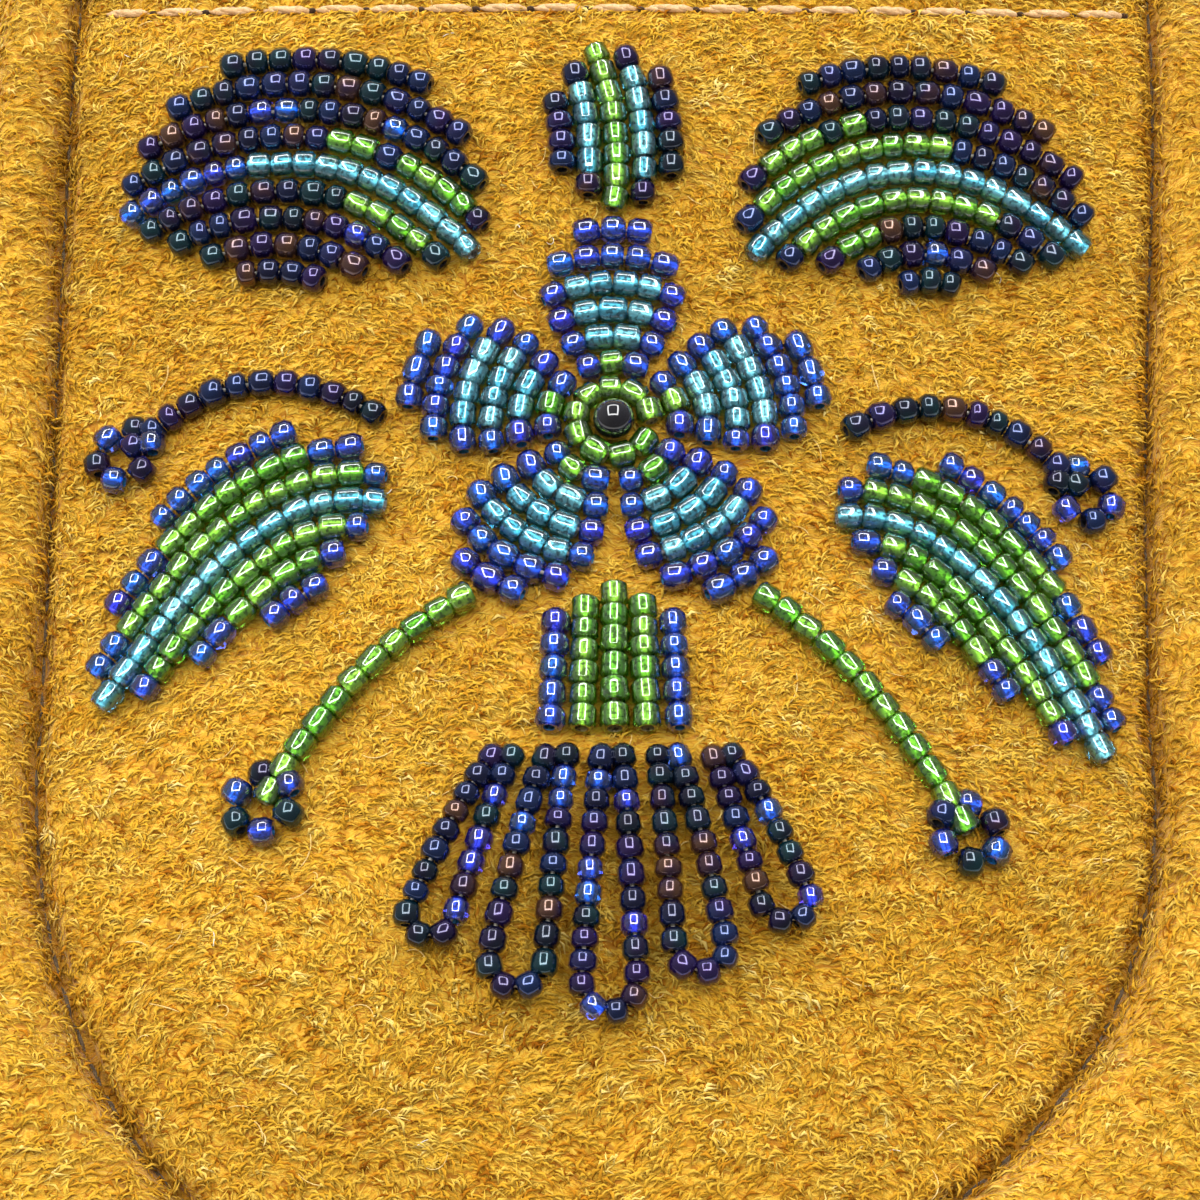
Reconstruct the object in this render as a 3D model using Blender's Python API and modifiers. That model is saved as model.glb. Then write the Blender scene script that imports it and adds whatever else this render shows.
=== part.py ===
"""A beaded moccasin for the left foot: upper, tongue, insole and outsole.

Metres, +Z up. The toe points along -Y, the inner side of the foot is at -X, and the origin is on the floor
under the middle of the shoe. The tables below are in millimetres.
"""

import math
from collections import namedtuple

import bpy
import numpy as np

MM = 0.001

# Driving sizes
WALL = 2.4  # suede of the upper
TONGUE_THICKNESS = 2.0
INSOLE_THICKNESS = 2.8
CLEARANCE = 0.35  # left between pieces that touch
FEATHER_INSET = 1.6  # from the sole's edge in to the foot of the upper
FEATHER_RISE = 1.2  # straight foot of the upper before it bulges out
THROAT_Y = -4.5  # top edge of the vamp
SOLE_EDGE_ROUND = 0.9

# Rows of the meshes
TOE_ROWS = 11
FRONT_ROWS = 9
BACK_ROWS = 11
HEEL_ROWS = 8
WALL_ROWS = 9
VAMP_COLUMNS = 12

SIDES = {"medial": -1, "lateral": 1}

# Half widths of the sole at sections along the foot
SoleSection = namedtuple("SoleSection", "place y medial lateral")
SOLE_SECTIONS = (
    SoleSection("toes", -72.0, 42.5, 44.5),
    SoleSection("ball", -46.0, 43.0, 46.8),
    SoleSection("instep", -8.0, 34.5, 44.0),
    SoleSection("arch", 28.0, 28.5, 39.0),
    SoleSection("heel front", 60.0, 29.5, 34.5),
    SoleSection("heel", 88.0, 30.5, 32.5),
)

# Half widths of the upper's top line: the seam round the vamp, then the collar
EdgeSection = namedtuple("EdgeSection", "place y medial lateral")
EDGE_SECTIONS = (
    EdgeSection("toes", -64.7, 40.6, 39.8),
    EdgeSection("ball", -36.5, 42.0, 42.3),
    EdgeSection("throat", -8.2, 42.4, 44.6),
    EdgeSection("instep", 18.0, 41.0, 43.0),
    EdgeSection("ankle", 52.0, 34.5, 36.5),
    EdgeSection("heel", 84.0, 29.5, 30.5),
)

EdgeHeight = namedtuple("EdgeHeight", "place y height")
EDGE_HEIGHTS = (
    EdgeHeight("toe tip", -108.0, 34.2),
    EdgeHeight("toes", -64.7, 40.8),
    EdgeHeight("ball", -36.5, 49.6),
    EdgeHeight("throat", -8.2, 62.1),
    EdgeHeight("instep", 16.0, 66.0),
    EdgeHeight("ankle", 55.0, 61.5),
    EdgeHeight("heel", 90.0, 62.5),
    EdgeHeight("back", 121.5, 69.0),
)

# Each end of a line round the shoe is a quarter superellipse on either side of a tip
RoundEnd = namedtuple("RoundEnd", "start tip shift medial_power lateral_power")
SOLE_TOE = RoundEnd(-72.0, -123.0, -8.5, 1.95, 2.3)
SOLE_HEEL = RoundEnd(88.0, 124.5, 0.5, 2.15, 2.15)
EDGE_TOE = RoundEnd(-64.7, -108.0, -6.6, 1.86, 2.35)
EDGE_HEEL = RoundEnd(84.0, 121.5, 0.5, 2.2, 2.2)

# Where a section of the sole's edge meets the same section of the top line
SectionPair = namedtuple("SectionPair", "place sole_y edge_y")
SECTION_PAIRS = (
    SectionPair("toe tip", SOLE_TOE.tip, EDGE_TOE.tip),
    SectionPair("toes", SOLE_TOE.start, EDGE_TOE.start),
    SectionPair("throat", THROAT_Y, THROAT_Y),
    SectionPair("ankle", 45.0, 44.0),
    SectionPair("heel", SOLE_HEEL.start, EDGE_HEEL.start),
    SectionPair("back", SOLE_HEEL.tip, EDGE_HEEL.tip),
)

# How far out and up the side wall heads as it leaves the sole, and where it comes from as it meets the top
# line: the handles of its curve
WallSection = namedtuple(
    "WallSection", "place y medial_low medial_top lateral_low lateral_top low_up top_up"
)
WALL_SECTIONS = (
    WallSection("toe tip", -123.0, 13.0, 23.0, 13.0, 23.0, 2.0, 8.0),
    WallSection("toes", -98.0, 13.0, 20.0, 12.0, 19.0, 4.0, 9.0),
    WallSection("ball", -55.0, 12.5, 15.0, 11.0, 14.0, 6.0, 8.0),
    WallSection("instep", -8.0, 12.5, 16.5, 9.0, 12.0, 12.0, 7.0),
    WallSection("arch", 22.0, 13.0, 14.0, 9.0, 9.0, 16.0, -6.0),
    WallSection("ankle", 58.0, 10.0, 4.5, 8.5, 4.5, 18.0, -17.0),
    WallSection("heel", 100.0, 8.5, 4.0, 8.5, 4.0, 18.0, -20.0),
    WallSection("back", 124.5, 9.0, 6.0, 9.0, 6.0, 18.0, -22.0),
)

# Crown of the vamp above its seam
VampCrown = namedtuple("VampCrown", "place y height")
VAMP_CROWNS = (VampCrown("toes", -64.7, 6.4), VampCrown("throat", -8.2, 3.8))
THROAT_DIP = 3.5  # how far the middle of the vamp's top edge curves towards the toe

# Underside of the sole above the floor, and the sole's thickness
SoleProfile = namedtuple("SoleProfile", "place y lift thickness")
SOLE_PROFILE = (
    SoleProfile("toe tip", -123.0, 6.5, 3.8),
    SoleProfile("toes", -100.0, 2.0, 4.0),
    SoleProfile("ball front", -80.0, 0.0, 4.2),
    SoleProfile("ball back", -38.0, 0.0, 4.4),
    SoleProfile("arch front", 2.0, 2.2, 4.2),
    SoleProfile("arch back", 28.0, 2.2, 4.6),
    SoleProfile("heel front", 56.0, 0.0, 6.2),
    SoleProfile("heel back", 118.0, 0.0, 6.6),
    SoleProfile("back", 124.5, 0.5, 6.1),
)

# Half widths of the tongue along its length, from its sewn end under the vamp
TongueSection = namedtuple("TongueSection", "place along half_width")
TONGUE_SECTIONS = (
    TongueSection("sewn end", 0.0, 34.5),
    TongueSection("vamp edge", 12.0, 35.0),
    TongueSection("middle", 32.0, 34.0),
    TongueSection("top", 58.0, 29.0),
)
TONGUE_START_Y = THROAT_Y - 12.0
TONGUE_SLOPE = math.radians(46)  # at its top
TONGUE_BEND = 24.0  # length over which it turns up from the vamp's slope
TONGUE_CORNER = 17.0  # length of its rounded top
TONGUE_CORNER_POWER = 2.6
TONGUE_TIP = math.radians(85)  # how far round its corner the last row lies, short of the tip itself
TONGUE_STRAIGHT_ROWS = 8
TONGUE_CORNER_ROWS = 5
TONGUE_COLUMNS = 10
TONGUE_STEP = 0.5  # along its line, and for slopes of the vamp

# Shading and rounding of edges
SHARP_FROM = math.radians(40)
ROUND_FROM = math.radians(50)
ROUND_SEGMENTS = 2


def column(table, name):
    return [getattr(row, name) for row in table]


def natural_spline(xs, ys):
    """The natural cubic spline through the points, as a function."""
    xs, ys = np.asarray(xs, float), np.asarray(ys, float)
    step, count = np.diff(xs), len(xs)
    slope = np.diff(ys) / step
    system, right = np.eye(count), np.zeros(count)
    for i in range(1, count - 1):
        system[i, i - 1 : i + 2] = step[i - 1], 2 * (step[i - 1] + step[i]), step[i]
        right[i] = 6 * (slope[i] - slope[i - 1])
    bend = np.linalg.solve(system, right)

    def at(x):
        i = np.clip(np.searchsorted(xs, x) - 1, 0, count - 2)
        t = np.clip(x, xs[0], xs[-1]) - xs[i]
        first = slope[i] - step[i] * (2 * bend[i] + bend[i + 1]) / 6
        cubic = (bend[i + 1] - bend[i]) / (6 * step[i])
        return ys[i] + t * (first + t * (bend[i] / 2 + t * cubic))

    return at


def level_spline(xs, ys):
    """A smooth curve through the points that never overshoots, so equal heights stay level between them."""
    xs, ys = np.asarray(xs, float), np.asarray(ys, float)
    step = np.diff(xs)
    slope = np.diff(ys) / step
    tangent = np.zeros(len(xs))
    for i in range(1, len(xs) - 1):
        if slope[i - 1] * slope[i] > 0:
            left, right = 2 * step[i] + step[i - 1], step[i] + 2 * step[i - 1]
            tangent[i] = (left + right) / (left / slope[i - 1] + right / slope[i])
    tangent[0], tangent[-1] = slope[0], slope[-1]

    def at(x):
        i = np.clip(np.searchsorted(xs, x) - 1, 0, len(xs) - 2)
        t = np.clip((x - xs[i]) / step[i], 0, 1)
        rest = 1 - t
        ends = ys[i] * rest**2 * (1 + 2 * t) + ys[i + 1] * t**2 * (3 - 2 * t)
        return ends + step[i] * t * rest * (tangent[i] * rest - tangent[i + 1] * t)

    return at


class ShoeLine:
    """A closed line round the shoe in plan: one curve on each side between two round ends."""

    def __init__(self, sections, toe, heel):
        self.toe, self.heel = toe, heel
        y = column(sections, "y")
        self.width = {side: natural_spline(y, column(sections, side)) for side in SIDES}

    def x(self, side, y):
        width = self.width[side](y)
        middle = 0.0
        for end in (self.toe, self.heel):
            reach = np.clip((y - end.start) / (end.tip - end.start), 0, 1)
            power = getattr(end, side + "_power")
            width = width * (1 - reach**power) ** (1 / power)
            middle = middle + end.shift * reach**2
        return middle + SIDES[side] * width

    def ring(self, y):
        """Points from the toe's tip down the inner side to the heel's tip and back up the outer side."""
        inner = np.stack([self.x("medial", y), y], axis=1)
        outer = np.stack([self.x("lateral", y), y], axis=1)
        return np.concatenate([inner, outer[-2:0:-1]])


SOLE_LINE = ShoeLine(SOLE_SECTIONS, SOLE_TOE, SOLE_HEEL)
EDGE_LINE = ShoeLine(EDGE_SECTIONS, EDGE_TOE, EDGE_HEEL)
edge_height = natural_spline(column(EDGE_HEIGHTS, "y"), column(EDGE_HEIGHTS, "height"))
edge_y = natural_spline(column(SECTION_PAIRS, "sole_y"), column(SECTION_PAIRS, "edge_y"))
vamp_crown = level_spline(column(VAMP_CROWNS, "y"), column(VAMP_CROWNS, "height"))
sole_lift = level_spline(column(SOLE_PROFILE, "y"), column(SOLE_PROFILE, "lift"))
sole_thickness = level_spline(column(SOLE_PROFILE, "y"), column(SOLE_PROFILE, "thickness"))
wall_y = column(WALL_SECTIONS, "y")
wall_handles = {
    name: natural_spline(wall_y, column(WALL_SECTIONS, name)) for name in WallSection._fields[2:]
}


def sole_top(y):
    return sole_lift(y) + sole_thickness(y)


def section_rows():
    """Y of each section of the sole's edge from toe to heel, closer together round both ends."""
    toe_length = SOLE_TOE.start - SOLE_TOE.tip
    heel_length = SOLE_HEEL.tip - SOLE_HEEL.start
    toe = SOLE_TOE.start - toe_length * np.cos(np.linspace(0, math.pi / 2, TOE_ROWS + 1))
    front = np.linspace(SOLE_TOE.start, THROAT_Y, FRONT_ROWS + 1)
    back = np.linspace(THROAT_Y, SOLE_HEEL.start, BACK_ROWS + 1)
    heel = SOLE_HEEL.start + heel_length * np.sin(np.linspace(0, math.pi / 2, HEEL_ROWS + 1))
    return np.concatenate([toe, front[1:], back[1:], heel[1:]])


def outward(ring):
    """Unit normals in plan of a closed ring of points, away from its middle."""
    tangent = np.roll(ring, -1, axis=0) - np.roll(ring, 1, axis=0)
    normal = np.stack([-tangent[:, 1], tangent[:, 0]], axis=1)
    return normal / np.linalg.norm(normal, axis=1)[:, None]


def inset_ring(y, inset):
    ring = SOLE_LINE.ring(y)
    return ring - inset * outward(ring)


def with_height(ring, z):
    return np.column_stack([ring, np.broadcast_to(z, len(ring))])


def ring_handle(medial, lateral, y):
    """A handle's length at each section round the shoe, from its column for each side."""
    inner, outer = wall_handles[medial](y), wall_handles[lateral](y)
    return np.concatenate([inner, outer[-2:0:-1]])[:, None]


def wall_grid(y):
    """Rows of the upper's side wall from its foot on the sole to its top line, one point for each section."""
    foot_plan = inset_ring(y, FEATHER_INSET)
    foot = with_height(foot_plan, sole_top(foot_plan[:, 1]) + CLEARANCE)
    feather = foot + [0, 0, FEATHER_RISE]
    edge_plan = EDGE_LINE.ring(edge_y(y))
    edge = with_height(edge_plan, edge_height(edge_plan[:, 1]))
    out = with_height(outward(SOLE_LINE.ring(y)), 0)
    low = feather + out * ring_handle("medial_low", "lateral_low", y)
    low = low + [0, 0, 1] * ring_handle("low_up", "low_up", y)
    top = edge + out * ring_handle("medial_top", "lateral_top", y)
    top = top + [0, 0, 1] * ring_handle("top_up", "top_up", y)
    rows = [foot]
    for t in np.linspace(0, 1, WALL_ROWS + 1):
        weights = (1 - t) ** 3, 3 * t * (1 - t) ** 2, 3 * t**2 * (1 - t), t**3
        rows.append(sum(w * p for w, p in zip(weights, (feather, low, top, edge))))
    return np.array(rows)


def vamp_height(x, y):
    """Height of the vamp's outer face: level with the seam at its edge, and crowned over the middle."""
    reach = np.clip((y - EDGE_TOE.start) / (EDGE_TOE.tip - EDGE_TOE.start), 0, 1)
    offset = x - EDGE_TOE.shift * reach**2
    side = "medial" if offset < 0 else "lateral"
    power = getattr(EDGE_TOE, side + "_power")
    across = abs(offset) / EDGE_LINE.width[side](y)
    toward_seam = min((across**power + reach**power) ** (2 / power), 1)
    return edge_height(y) + vamp_crown(y) * (1 - toward_seam)


def vamp_row(inner, outer):
    """Points of one row of the vamp between its ends on the seam, curved like the throat's edge near it."""
    toward_throat = max((inner[1] - EDGE_TOE.start) / (THROAT_Y - EDGE_TOE.start), 0)
    points = []
    for q in np.linspace(0, 1, VAMP_COLUMNS + 1)[1:-1]:
        x, y, _ = np.array(inner) * (1 - q) + np.array(outer) * q
        y -= THROAT_DIP * toward_throat**2 * 4 * q * (1 - q)
        points.append((x, y, vamp_height(x, y)))
    return points


def build_mesh(name, points, faces):
    mesh = bpy.data.meshes.new(name)
    mesh.from_pydata([tuple(MM * c for c in point) for point in points], [], faces)
    mesh.update()
    return mesh


def upper_skin(y):
    """Outer face of the upper as one open sheet: the side wall all round, and the vamp over the toes."""
    grid = wall_grid(y)
    rows, around = grid.shape[:2]
    points = [tuple(p) for p in grid.reshape(-1, 3)]
    faces = []
    for r in range(rows - 1):
        for c in range(around):
            n = (c + 1) % around
            low, high = r * around, (r + 1) * around
            faces.append((low + c, high + c, high + n, low + n))
    top = (rows - 1) * around
    previous = [top]
    for k in range(1, TOE_ROWS + FRONT_ROWS + 1):
        inner, outer = top + k, top + around - k
        between = vamp_row(points[inner], points[outer])
        row = [inner, *range(len(points), len(points) + len(between)), outer]
        points += between
        if k == 1:
            faces += [(previous[0], row[c + 1], row[c]) for c in range(VAMP_COLUMNS)]
        else:
            faces += [(previous[c], previous[c + 1], row[c + 1], row[c]) for c in range(VAMP_COLUMNS)]
        previous = row
    return build_mesh("upper", points, faces)


def covered_height(x, y):
    """Outer face of the tongue where it lies under the vamp, one wall and a clearance below."""
    near, far = vamp_height(x, y - TONGUE_STEP), vamp_height(x, y + TONGUE_STEP)
    inner, outer = vamp_height(x - TONGUE_STEP, y), vamp_height(x + TONGUE_STEP, y)
    along_slope, across_slope = (far - near) / (2 * TONGUE_STEP), (outer - inner) / (2 * TONGUE_STEP)
    steepness = math.hypot(1, along_slope, across_slope)
    return vamp_height(x, y) - (WALL + 2 * CLEARANCE) * steepness


def tongue_line(along):
    """Y and height of the tongue's middle line: under the vamp at first, then turning up to its top."""
    covered = THROAT_Y - TONGUE_START_Y
    y, z = TONGUE_START_Y, covered_height(0, TONGUE_START_Y)
    slope = 0.0
    for length in np.arange(0, along, TONGUE_STEP):
        if length <= covered:
            rise = covered_height(0, y + TONGUE_STEP) - covered_height(0, y)
            slope = angle = math.atan2(rise, TONGUE_STEP)
        else:
            angle = slope + (TONGUE_SLOPE - slope) * min((length - covered) / TONGUE_BEND, 1)
        advance = min(TONGUE_STEP, along - length)
        y, z = y + advance * math.cos(angle), z + advance * math.sin(angle)
    return y, z


def tongue_rows():
    """Lengths along the tongue of its rows, closer together round the corners of its top."""
    corner_start = TONGUE_SECTIONS[-1].along - TONGUE_CORNER
    straight = np.linspace(0, corner_start, TONGUE_STRAIGHT_ROWS + 1)
    corner = corner_start + TONGUE_CORNER * np.sin(np.linspace(0, TONGUE_TIP, TONGUE_CORNER_ROWS + 1))
    return np.concatenate([straight, corner[1:]])


def tongue_skin():
    """Outer face of the tongue as one open sheet, with its two top corners rounded."""
    half_width = natural_spline(column(TONGUE_SECTIONS, "along"), column(TONGUE_SECTIONS, "half_width"))
    corner_start = TONGUE_SECTIONS[-1].along - TONGUE_CORNER
    points, faces = [], []
    for along in tongue_rows():
        y, z = tongue_line(along)
        crown_y = min(y, THROAT_Y)
        reach = max(along - corner_start, 0) / TONGUE_CORNER
        width = half_width(along) * (1 - reach**TONGUE_CORNER_POWER) ** (1 / TONGUE_CORNER_POWER)
        for x in np.linspace(-width, width, TONGUE_COLUMNS + 1):
            points.append((x, y, z + covered_height(x, crown_y) - covered_height(0, crown_y)))
    across = TONGUE_COLUMNS + 1
    for r in range(len(points) // across - 1):
        for i in range(r * across, r * across + TONGUE_COLUMNS):
            faces.append((i, i + 1, i + across + 1, i + across))
    return build_mesh("tongue", points, faces)


def layer_mesh(name, ring, low, high):
    """A closed layer between two height functions of Y, with its outline along the ring."""
    around = len(ring)
    heel = around // 2
    points = np.concatenate([with_height(ring, low(ring[:, 1])), with_height(ring, high(ring[:, 1]))])
    faces = []
    for c in range(around):
        n = (c + 1) % around
        faces.append((c, c + around, n + around, n))
    for r in range(heel):
        strip = [r, r + 1, around - r - 1, around - r]
        if r == 0:
            strip.pop()
        elif r == heel - 1:
            strip.pop(1)
        faces.append(tuple(strip))
        faces.append(tuple(corner + around for corner in reversed(strip)))
    return build_mesh(name, points, faces)


def add_object(name, mesh, parts, material):
    solid = bpy.data.objects.new(name, mesh)
    parts.objects.link(solid)
    mesh.materials.append(material)
    mesh.shade_smooth()
    mesh.set_sharp_from_angle(angle=SHARP_FROM)
    return solid


def add_wall(solid, thickness):
    wall = solid.modifiers.new("Wall", "SOLIDIFY")
    wall.thickness = thickness * MM
    wall.offset = -1
    wall.use_even_offset = True


def round_edges(solid, width):
    edges = solid.modifiers.new("Rounded edges", "BEVEL")
    edges.width = width * MM
    edges.segments = ROUND_SEGMENTS
    edges.limit_method = "ANGLE"
    edges.angle_limit = ROUND_FROM


def leather(name, colour, roughness):
    material = bpy.data.materials.new(name)
    material.use_nodes = True
    shader = material.node_tree.nodes["Principled BSDF"]
    shader.inputs["Base Color"].default_value = (*colour, 1)
    shader.inputs["Roughness"].default_value = roughness
    shader.inputs["Metallic"].default_value = 0.0
    return material


def clear_scene():
    for old in list(bpy.data.objects):
        bpy.data.objects.remove(old, do_unlink=True)


def build_outsole(y, parts):
    """The sole under the whole foot, flat at heel and forefoot and lifted at the arch and the toe."""
    material = leather("Sole leather", (0.16, 0.075, 0.03), 0.7)
    mesh = layer_mesh("outsole", SOLE_LINE.ring(y), sole_lift, sole_top)
    round_edges(add_object("outsole", mesh, parts, material), SOLE_EDGE_ROUND)


def build_insole(y, parts):
    """The insole, inside the foot of the upper and just clear of the sole."""
    material = leather("Insole leather", (0.55, 0.38, 0.2), 0.8)
    ring = inset_ring(y, FEATHER_INSET + WALL + CLEARANCE)

    def underside(at):
        return sole_top(at) + CLEARANCE

    def upside(at):
        return underside(at) + INSOLE_THICKNESS

    mesh = layer_mesh("insole", ring, underside, upside)
    round_edges(add_object("insole", mesh, parts, material), SOLE_EDGE_ROUND)


def main():
    clear_scene()
    parts = bpy.data.collections.new("Beaded moccasin")
    bpy.context.scene.collection.children.link(parts)
    suede = leather("Golden suede", (0.60, 0.31, 0.022), 0.95)
    y = section_rows()
    add_wall(add_object("upper", upper_skin(y), parts, suede), WALL)
    add_wall(add_object("tongue", tongue_skin(), parts, suede), TONGUE_THICKNESS)
    build_outsole(y, parts)
    build_insole(y, parts)


main()
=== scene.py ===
"""Looks of the beaded moccasin: napped suede, seams, beadwork, thread and leather.

The form's tables and functions repeat those of the plain solids, so that each skin lies where its solid does.
Sizes and places are in millimetres, turned to metres where a mesh is built. +Z is up, the toe points along
-Y and the inner side of the foot is at -X.
"""

import math
import random
from collections import namedtuple

import bmesh
import bpy
import numpy as np
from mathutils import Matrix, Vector, noise


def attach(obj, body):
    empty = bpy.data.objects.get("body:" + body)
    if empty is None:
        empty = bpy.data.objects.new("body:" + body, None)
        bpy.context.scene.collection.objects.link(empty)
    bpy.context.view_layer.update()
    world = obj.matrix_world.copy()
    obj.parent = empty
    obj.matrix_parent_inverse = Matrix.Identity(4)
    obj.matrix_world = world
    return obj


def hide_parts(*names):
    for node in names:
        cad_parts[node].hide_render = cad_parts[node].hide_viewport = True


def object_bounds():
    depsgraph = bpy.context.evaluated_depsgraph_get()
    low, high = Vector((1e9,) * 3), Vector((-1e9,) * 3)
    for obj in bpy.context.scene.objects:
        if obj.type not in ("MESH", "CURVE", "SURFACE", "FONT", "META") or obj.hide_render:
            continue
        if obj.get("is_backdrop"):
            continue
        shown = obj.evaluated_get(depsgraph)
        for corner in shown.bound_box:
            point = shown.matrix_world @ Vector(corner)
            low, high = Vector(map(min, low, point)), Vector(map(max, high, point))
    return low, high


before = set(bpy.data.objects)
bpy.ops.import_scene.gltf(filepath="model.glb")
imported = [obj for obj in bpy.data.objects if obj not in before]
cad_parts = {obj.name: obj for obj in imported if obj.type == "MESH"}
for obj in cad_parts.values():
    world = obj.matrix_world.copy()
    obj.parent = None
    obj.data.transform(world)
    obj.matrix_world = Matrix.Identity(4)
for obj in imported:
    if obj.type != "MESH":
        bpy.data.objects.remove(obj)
cad_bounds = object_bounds()

MM = 0.001
BODY = "root"

# ---------------------------------------------------------------- the shoe's form

WALL = 2.4
TONGUE_THICKNESS = 2.0
INSOLE_THICKNESS = 2.8
CLEARANCE = 0.35
FEATHER_INSET = 1.6
FEATHER_RISE = 1.2
THROAT_Y = -4.5
THROAT_DIP = 3.5
SOLE_EDGE_ROUND = 0.9
SIDES = {"medial": -1, "lateral": 1}

LineSection = namedtuple("LineSection", "place y medial lateral")
SOLE_SECTIONS = (
    LineSection("toes", -72.0, 42.5, 44.5),
    LineSection("ball", -46.0, 43.0, 46.8),
    LineSection("instep", -8.0, 34.5, 44.0),
    LineSection("arch", 28.0, 28.5, 39.0),
    LineSection("heel front", 60.0, 29.5, 34.5),
    LineSection("heel", 88.0, 30.5, 32.5),
)
EDGE_SECTIONS = (
    LineSection("toes", -64.7, 40.6, 39.8),
    LineSection("ball", -36.5, 42.0, 42.3),
    LineSection("throat", -8.2, 42.4, 44.6),
    LineSection("instep", 18.0, 41.0, 43.0),
    LineSection("ankle", 52.0, 34.5, 36.5),
    LineSection("heel", 84.0, 29.5, 30.5),
)
Height = namedtuple("Height", "place y height")
EDGE_HEIGHTS = (
    Height("toe tip", -108.0, 34.2),
    Height("toes", -64.7, 40.8),
    Height("ball", -36.5, 49.6),
    Height("throat", -8.2, 62.1),
    Height("instep", 16.0, 66.0),
    Height("ankle", 55.0, 61.5),
    Height("heel", 90.0, 62.5),
    Height("back", 121.5, 69.0),
)
VAMP_CROWNS = (Height("toes", -64.7, 6.4), Height("throat", -8.2, 3.8))
RoundEnd = namedtuple("RoundEnd", "start tip shift medial_power lateral_power")
SOLE_TOE = RoundEnd(-72.0, -123.0, -8.5, 1.95, 2.3)
SOLE_HEEL = RoundEnd(88.0, 124.5, 0.5, 2.15, 2.15)
EDGE_TOE = RoundEnd(-64.7, -108.0, -6.6, 1.86, 2.35)
EDGE_HEEL = RoundEnd(84.0, 121.5, 0.5, 2.2, 2.2)
SectionPair = namedtuple("SectionPair", "place sole_y edge_y")
SECTION_PAIRS = (
    SectionPair("toe tip", SOLE_TOE.tip, EDGE_TOE.tip),
    SectionPair("toes", SOLE_TOE.start, EDGE_TOE.start),
    SectionPair("throat", THROAT_Y, THROAT_Y),
    SectionPair("ankle", 45.0, 44.0),
    SectionPair("heel", SOLE_HEEL.start, EDGE_HEEL.start),
    SectionPair("back", SOLE_HEEL.tip, EDGE_HEEL.tip),
)
WallSection = namedtuple(
    "WallSection", "place y medial_low medial_top lateral_low lateral_top low_up top_up"
)
WALL_SECTIONS = (
    WallSection("toe tip", -123.0, 13.0, 23.0, 13.0, 23.0, 2.0, 8.0),
    WallSection("toes", -98.0, 13.0, 20.0, 12.0, 19.0, 4.0, 9.0),
    WallSection("ball", -55.0, 12.5, 15.0, 11.0, 14.0, 6.0, 8.0),
    WallSection("instep", -8.0, 12.5, 16.5, 9.0, 12.0, 12.0, 7.0),
    WallSection("arch", 22.0, 13.0, 14.0, 9.0, 9.0, 16.0, -6.0),
    WallSection("ankle", 58.0, 10.0, 4.5, 8.5, 4.5, 18.0, -17.0),
    WallSection("heel", 100.0, 8.5, 4.0, 8.5, 4.0, 18.0, -20.0),
    WallSection("back", 124.5, 9.0, 6.0, 9.0, 6.0, 18.0, -22.0),
)
SoleProfile = namedtuple("SoleProfile", "place y lift thickness")
SOLE_PROFILE = (
    SoleProfile("toe tip", -123.0, 6.5, 3.8),
    SoleProfile("toes", -100.0, 2.0, 4.0),
    SoleProfile("ball front", -80.0, 0.0, 4.2),
    SoleProfile("ball back", -38.0, 0.0, 4.4),
    SoleProfile("arch front", 2.0, 2.2, 4.2),
    SoleProfile("arch back", 28.0, 2.2, 4.6),
    SoleProfile("heel front", 56.0, 0.0, 6.2),
    SoleProfile("heel back", 118.0, 0.0, 6.6),
    SoleProfile("back", 124.5, 0.5, 6.1),
)
TongueSection = namedtuple("TongueSection", "place along half_width")
TONGUE_SECTIONS = (
    TongueSection("sewn end", 0.0, 34.5),
    TongueSection("vamp edge", 12.0, 35.0),
    TongueSection("middle", 32.0, 34.0),
    TongueSection("top", 58.0, 29.0),
)
TONGUE_START_Y = THROAT_Y - 12.0
TONGUE_SLOPE = math.radians(46)
TONGUE_BEND = 24.0
TONGUE_CORNER = 17.0
TONGUE_CORNER_POWER = 2.6
TONGUE_TIP = math.radians(87)
TONGUE_STEP = 0.5

# Rows of the fine meshes
TOE_ROWS, FRONT_ROWS, BACK_ROWS, HEEL_ROWS = 40, 60, 44, 28
WALL_ROWS, VAMP_COLUMNS = 44, 64
TONGUE_STRAIGHT_ROWS, TONGUE_CORNER_ROWS, TONGUE_COLUMNS = 26, 14, 36
DENSER_TO_THROAT = 1.5
DENSER_TO_EDGE = 1.3
VAMP_EVEN = 0.25  # share of the vamp's columns laid evenly; the rest crowd towards the seam


def column(table, name):
    return [getattr(row, name) for row in table]


def unit(vectors):
    """Each row of vectors at length 1."""
    return vectors / np.linalg.norm(vectors, axis=1)[:, None]


def bent_line(start, bend, end, share):
    """Places along a curve that leaves one point towards the bend and arrives from it at the other."""
    a, b, c = (np.array(point, float) for point in (start, bend, end))
    return a * (1 - share) ** 2 + 2 * b * share * (1 - share) + c * share**2


def run_along(path):
    """Length of a path from its start to each of its points."""
    return np.concatenate([[0], np.cumsum(np.linalg.norm(np.diff(path, axis=0), axis=1))])


def value_at(run, values, distance):
    """The vector, between those kept at a path's points, at a distance along it."""
    return np.array([np.interp(distance, run, values[:, i]) for i in range(3)])


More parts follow.
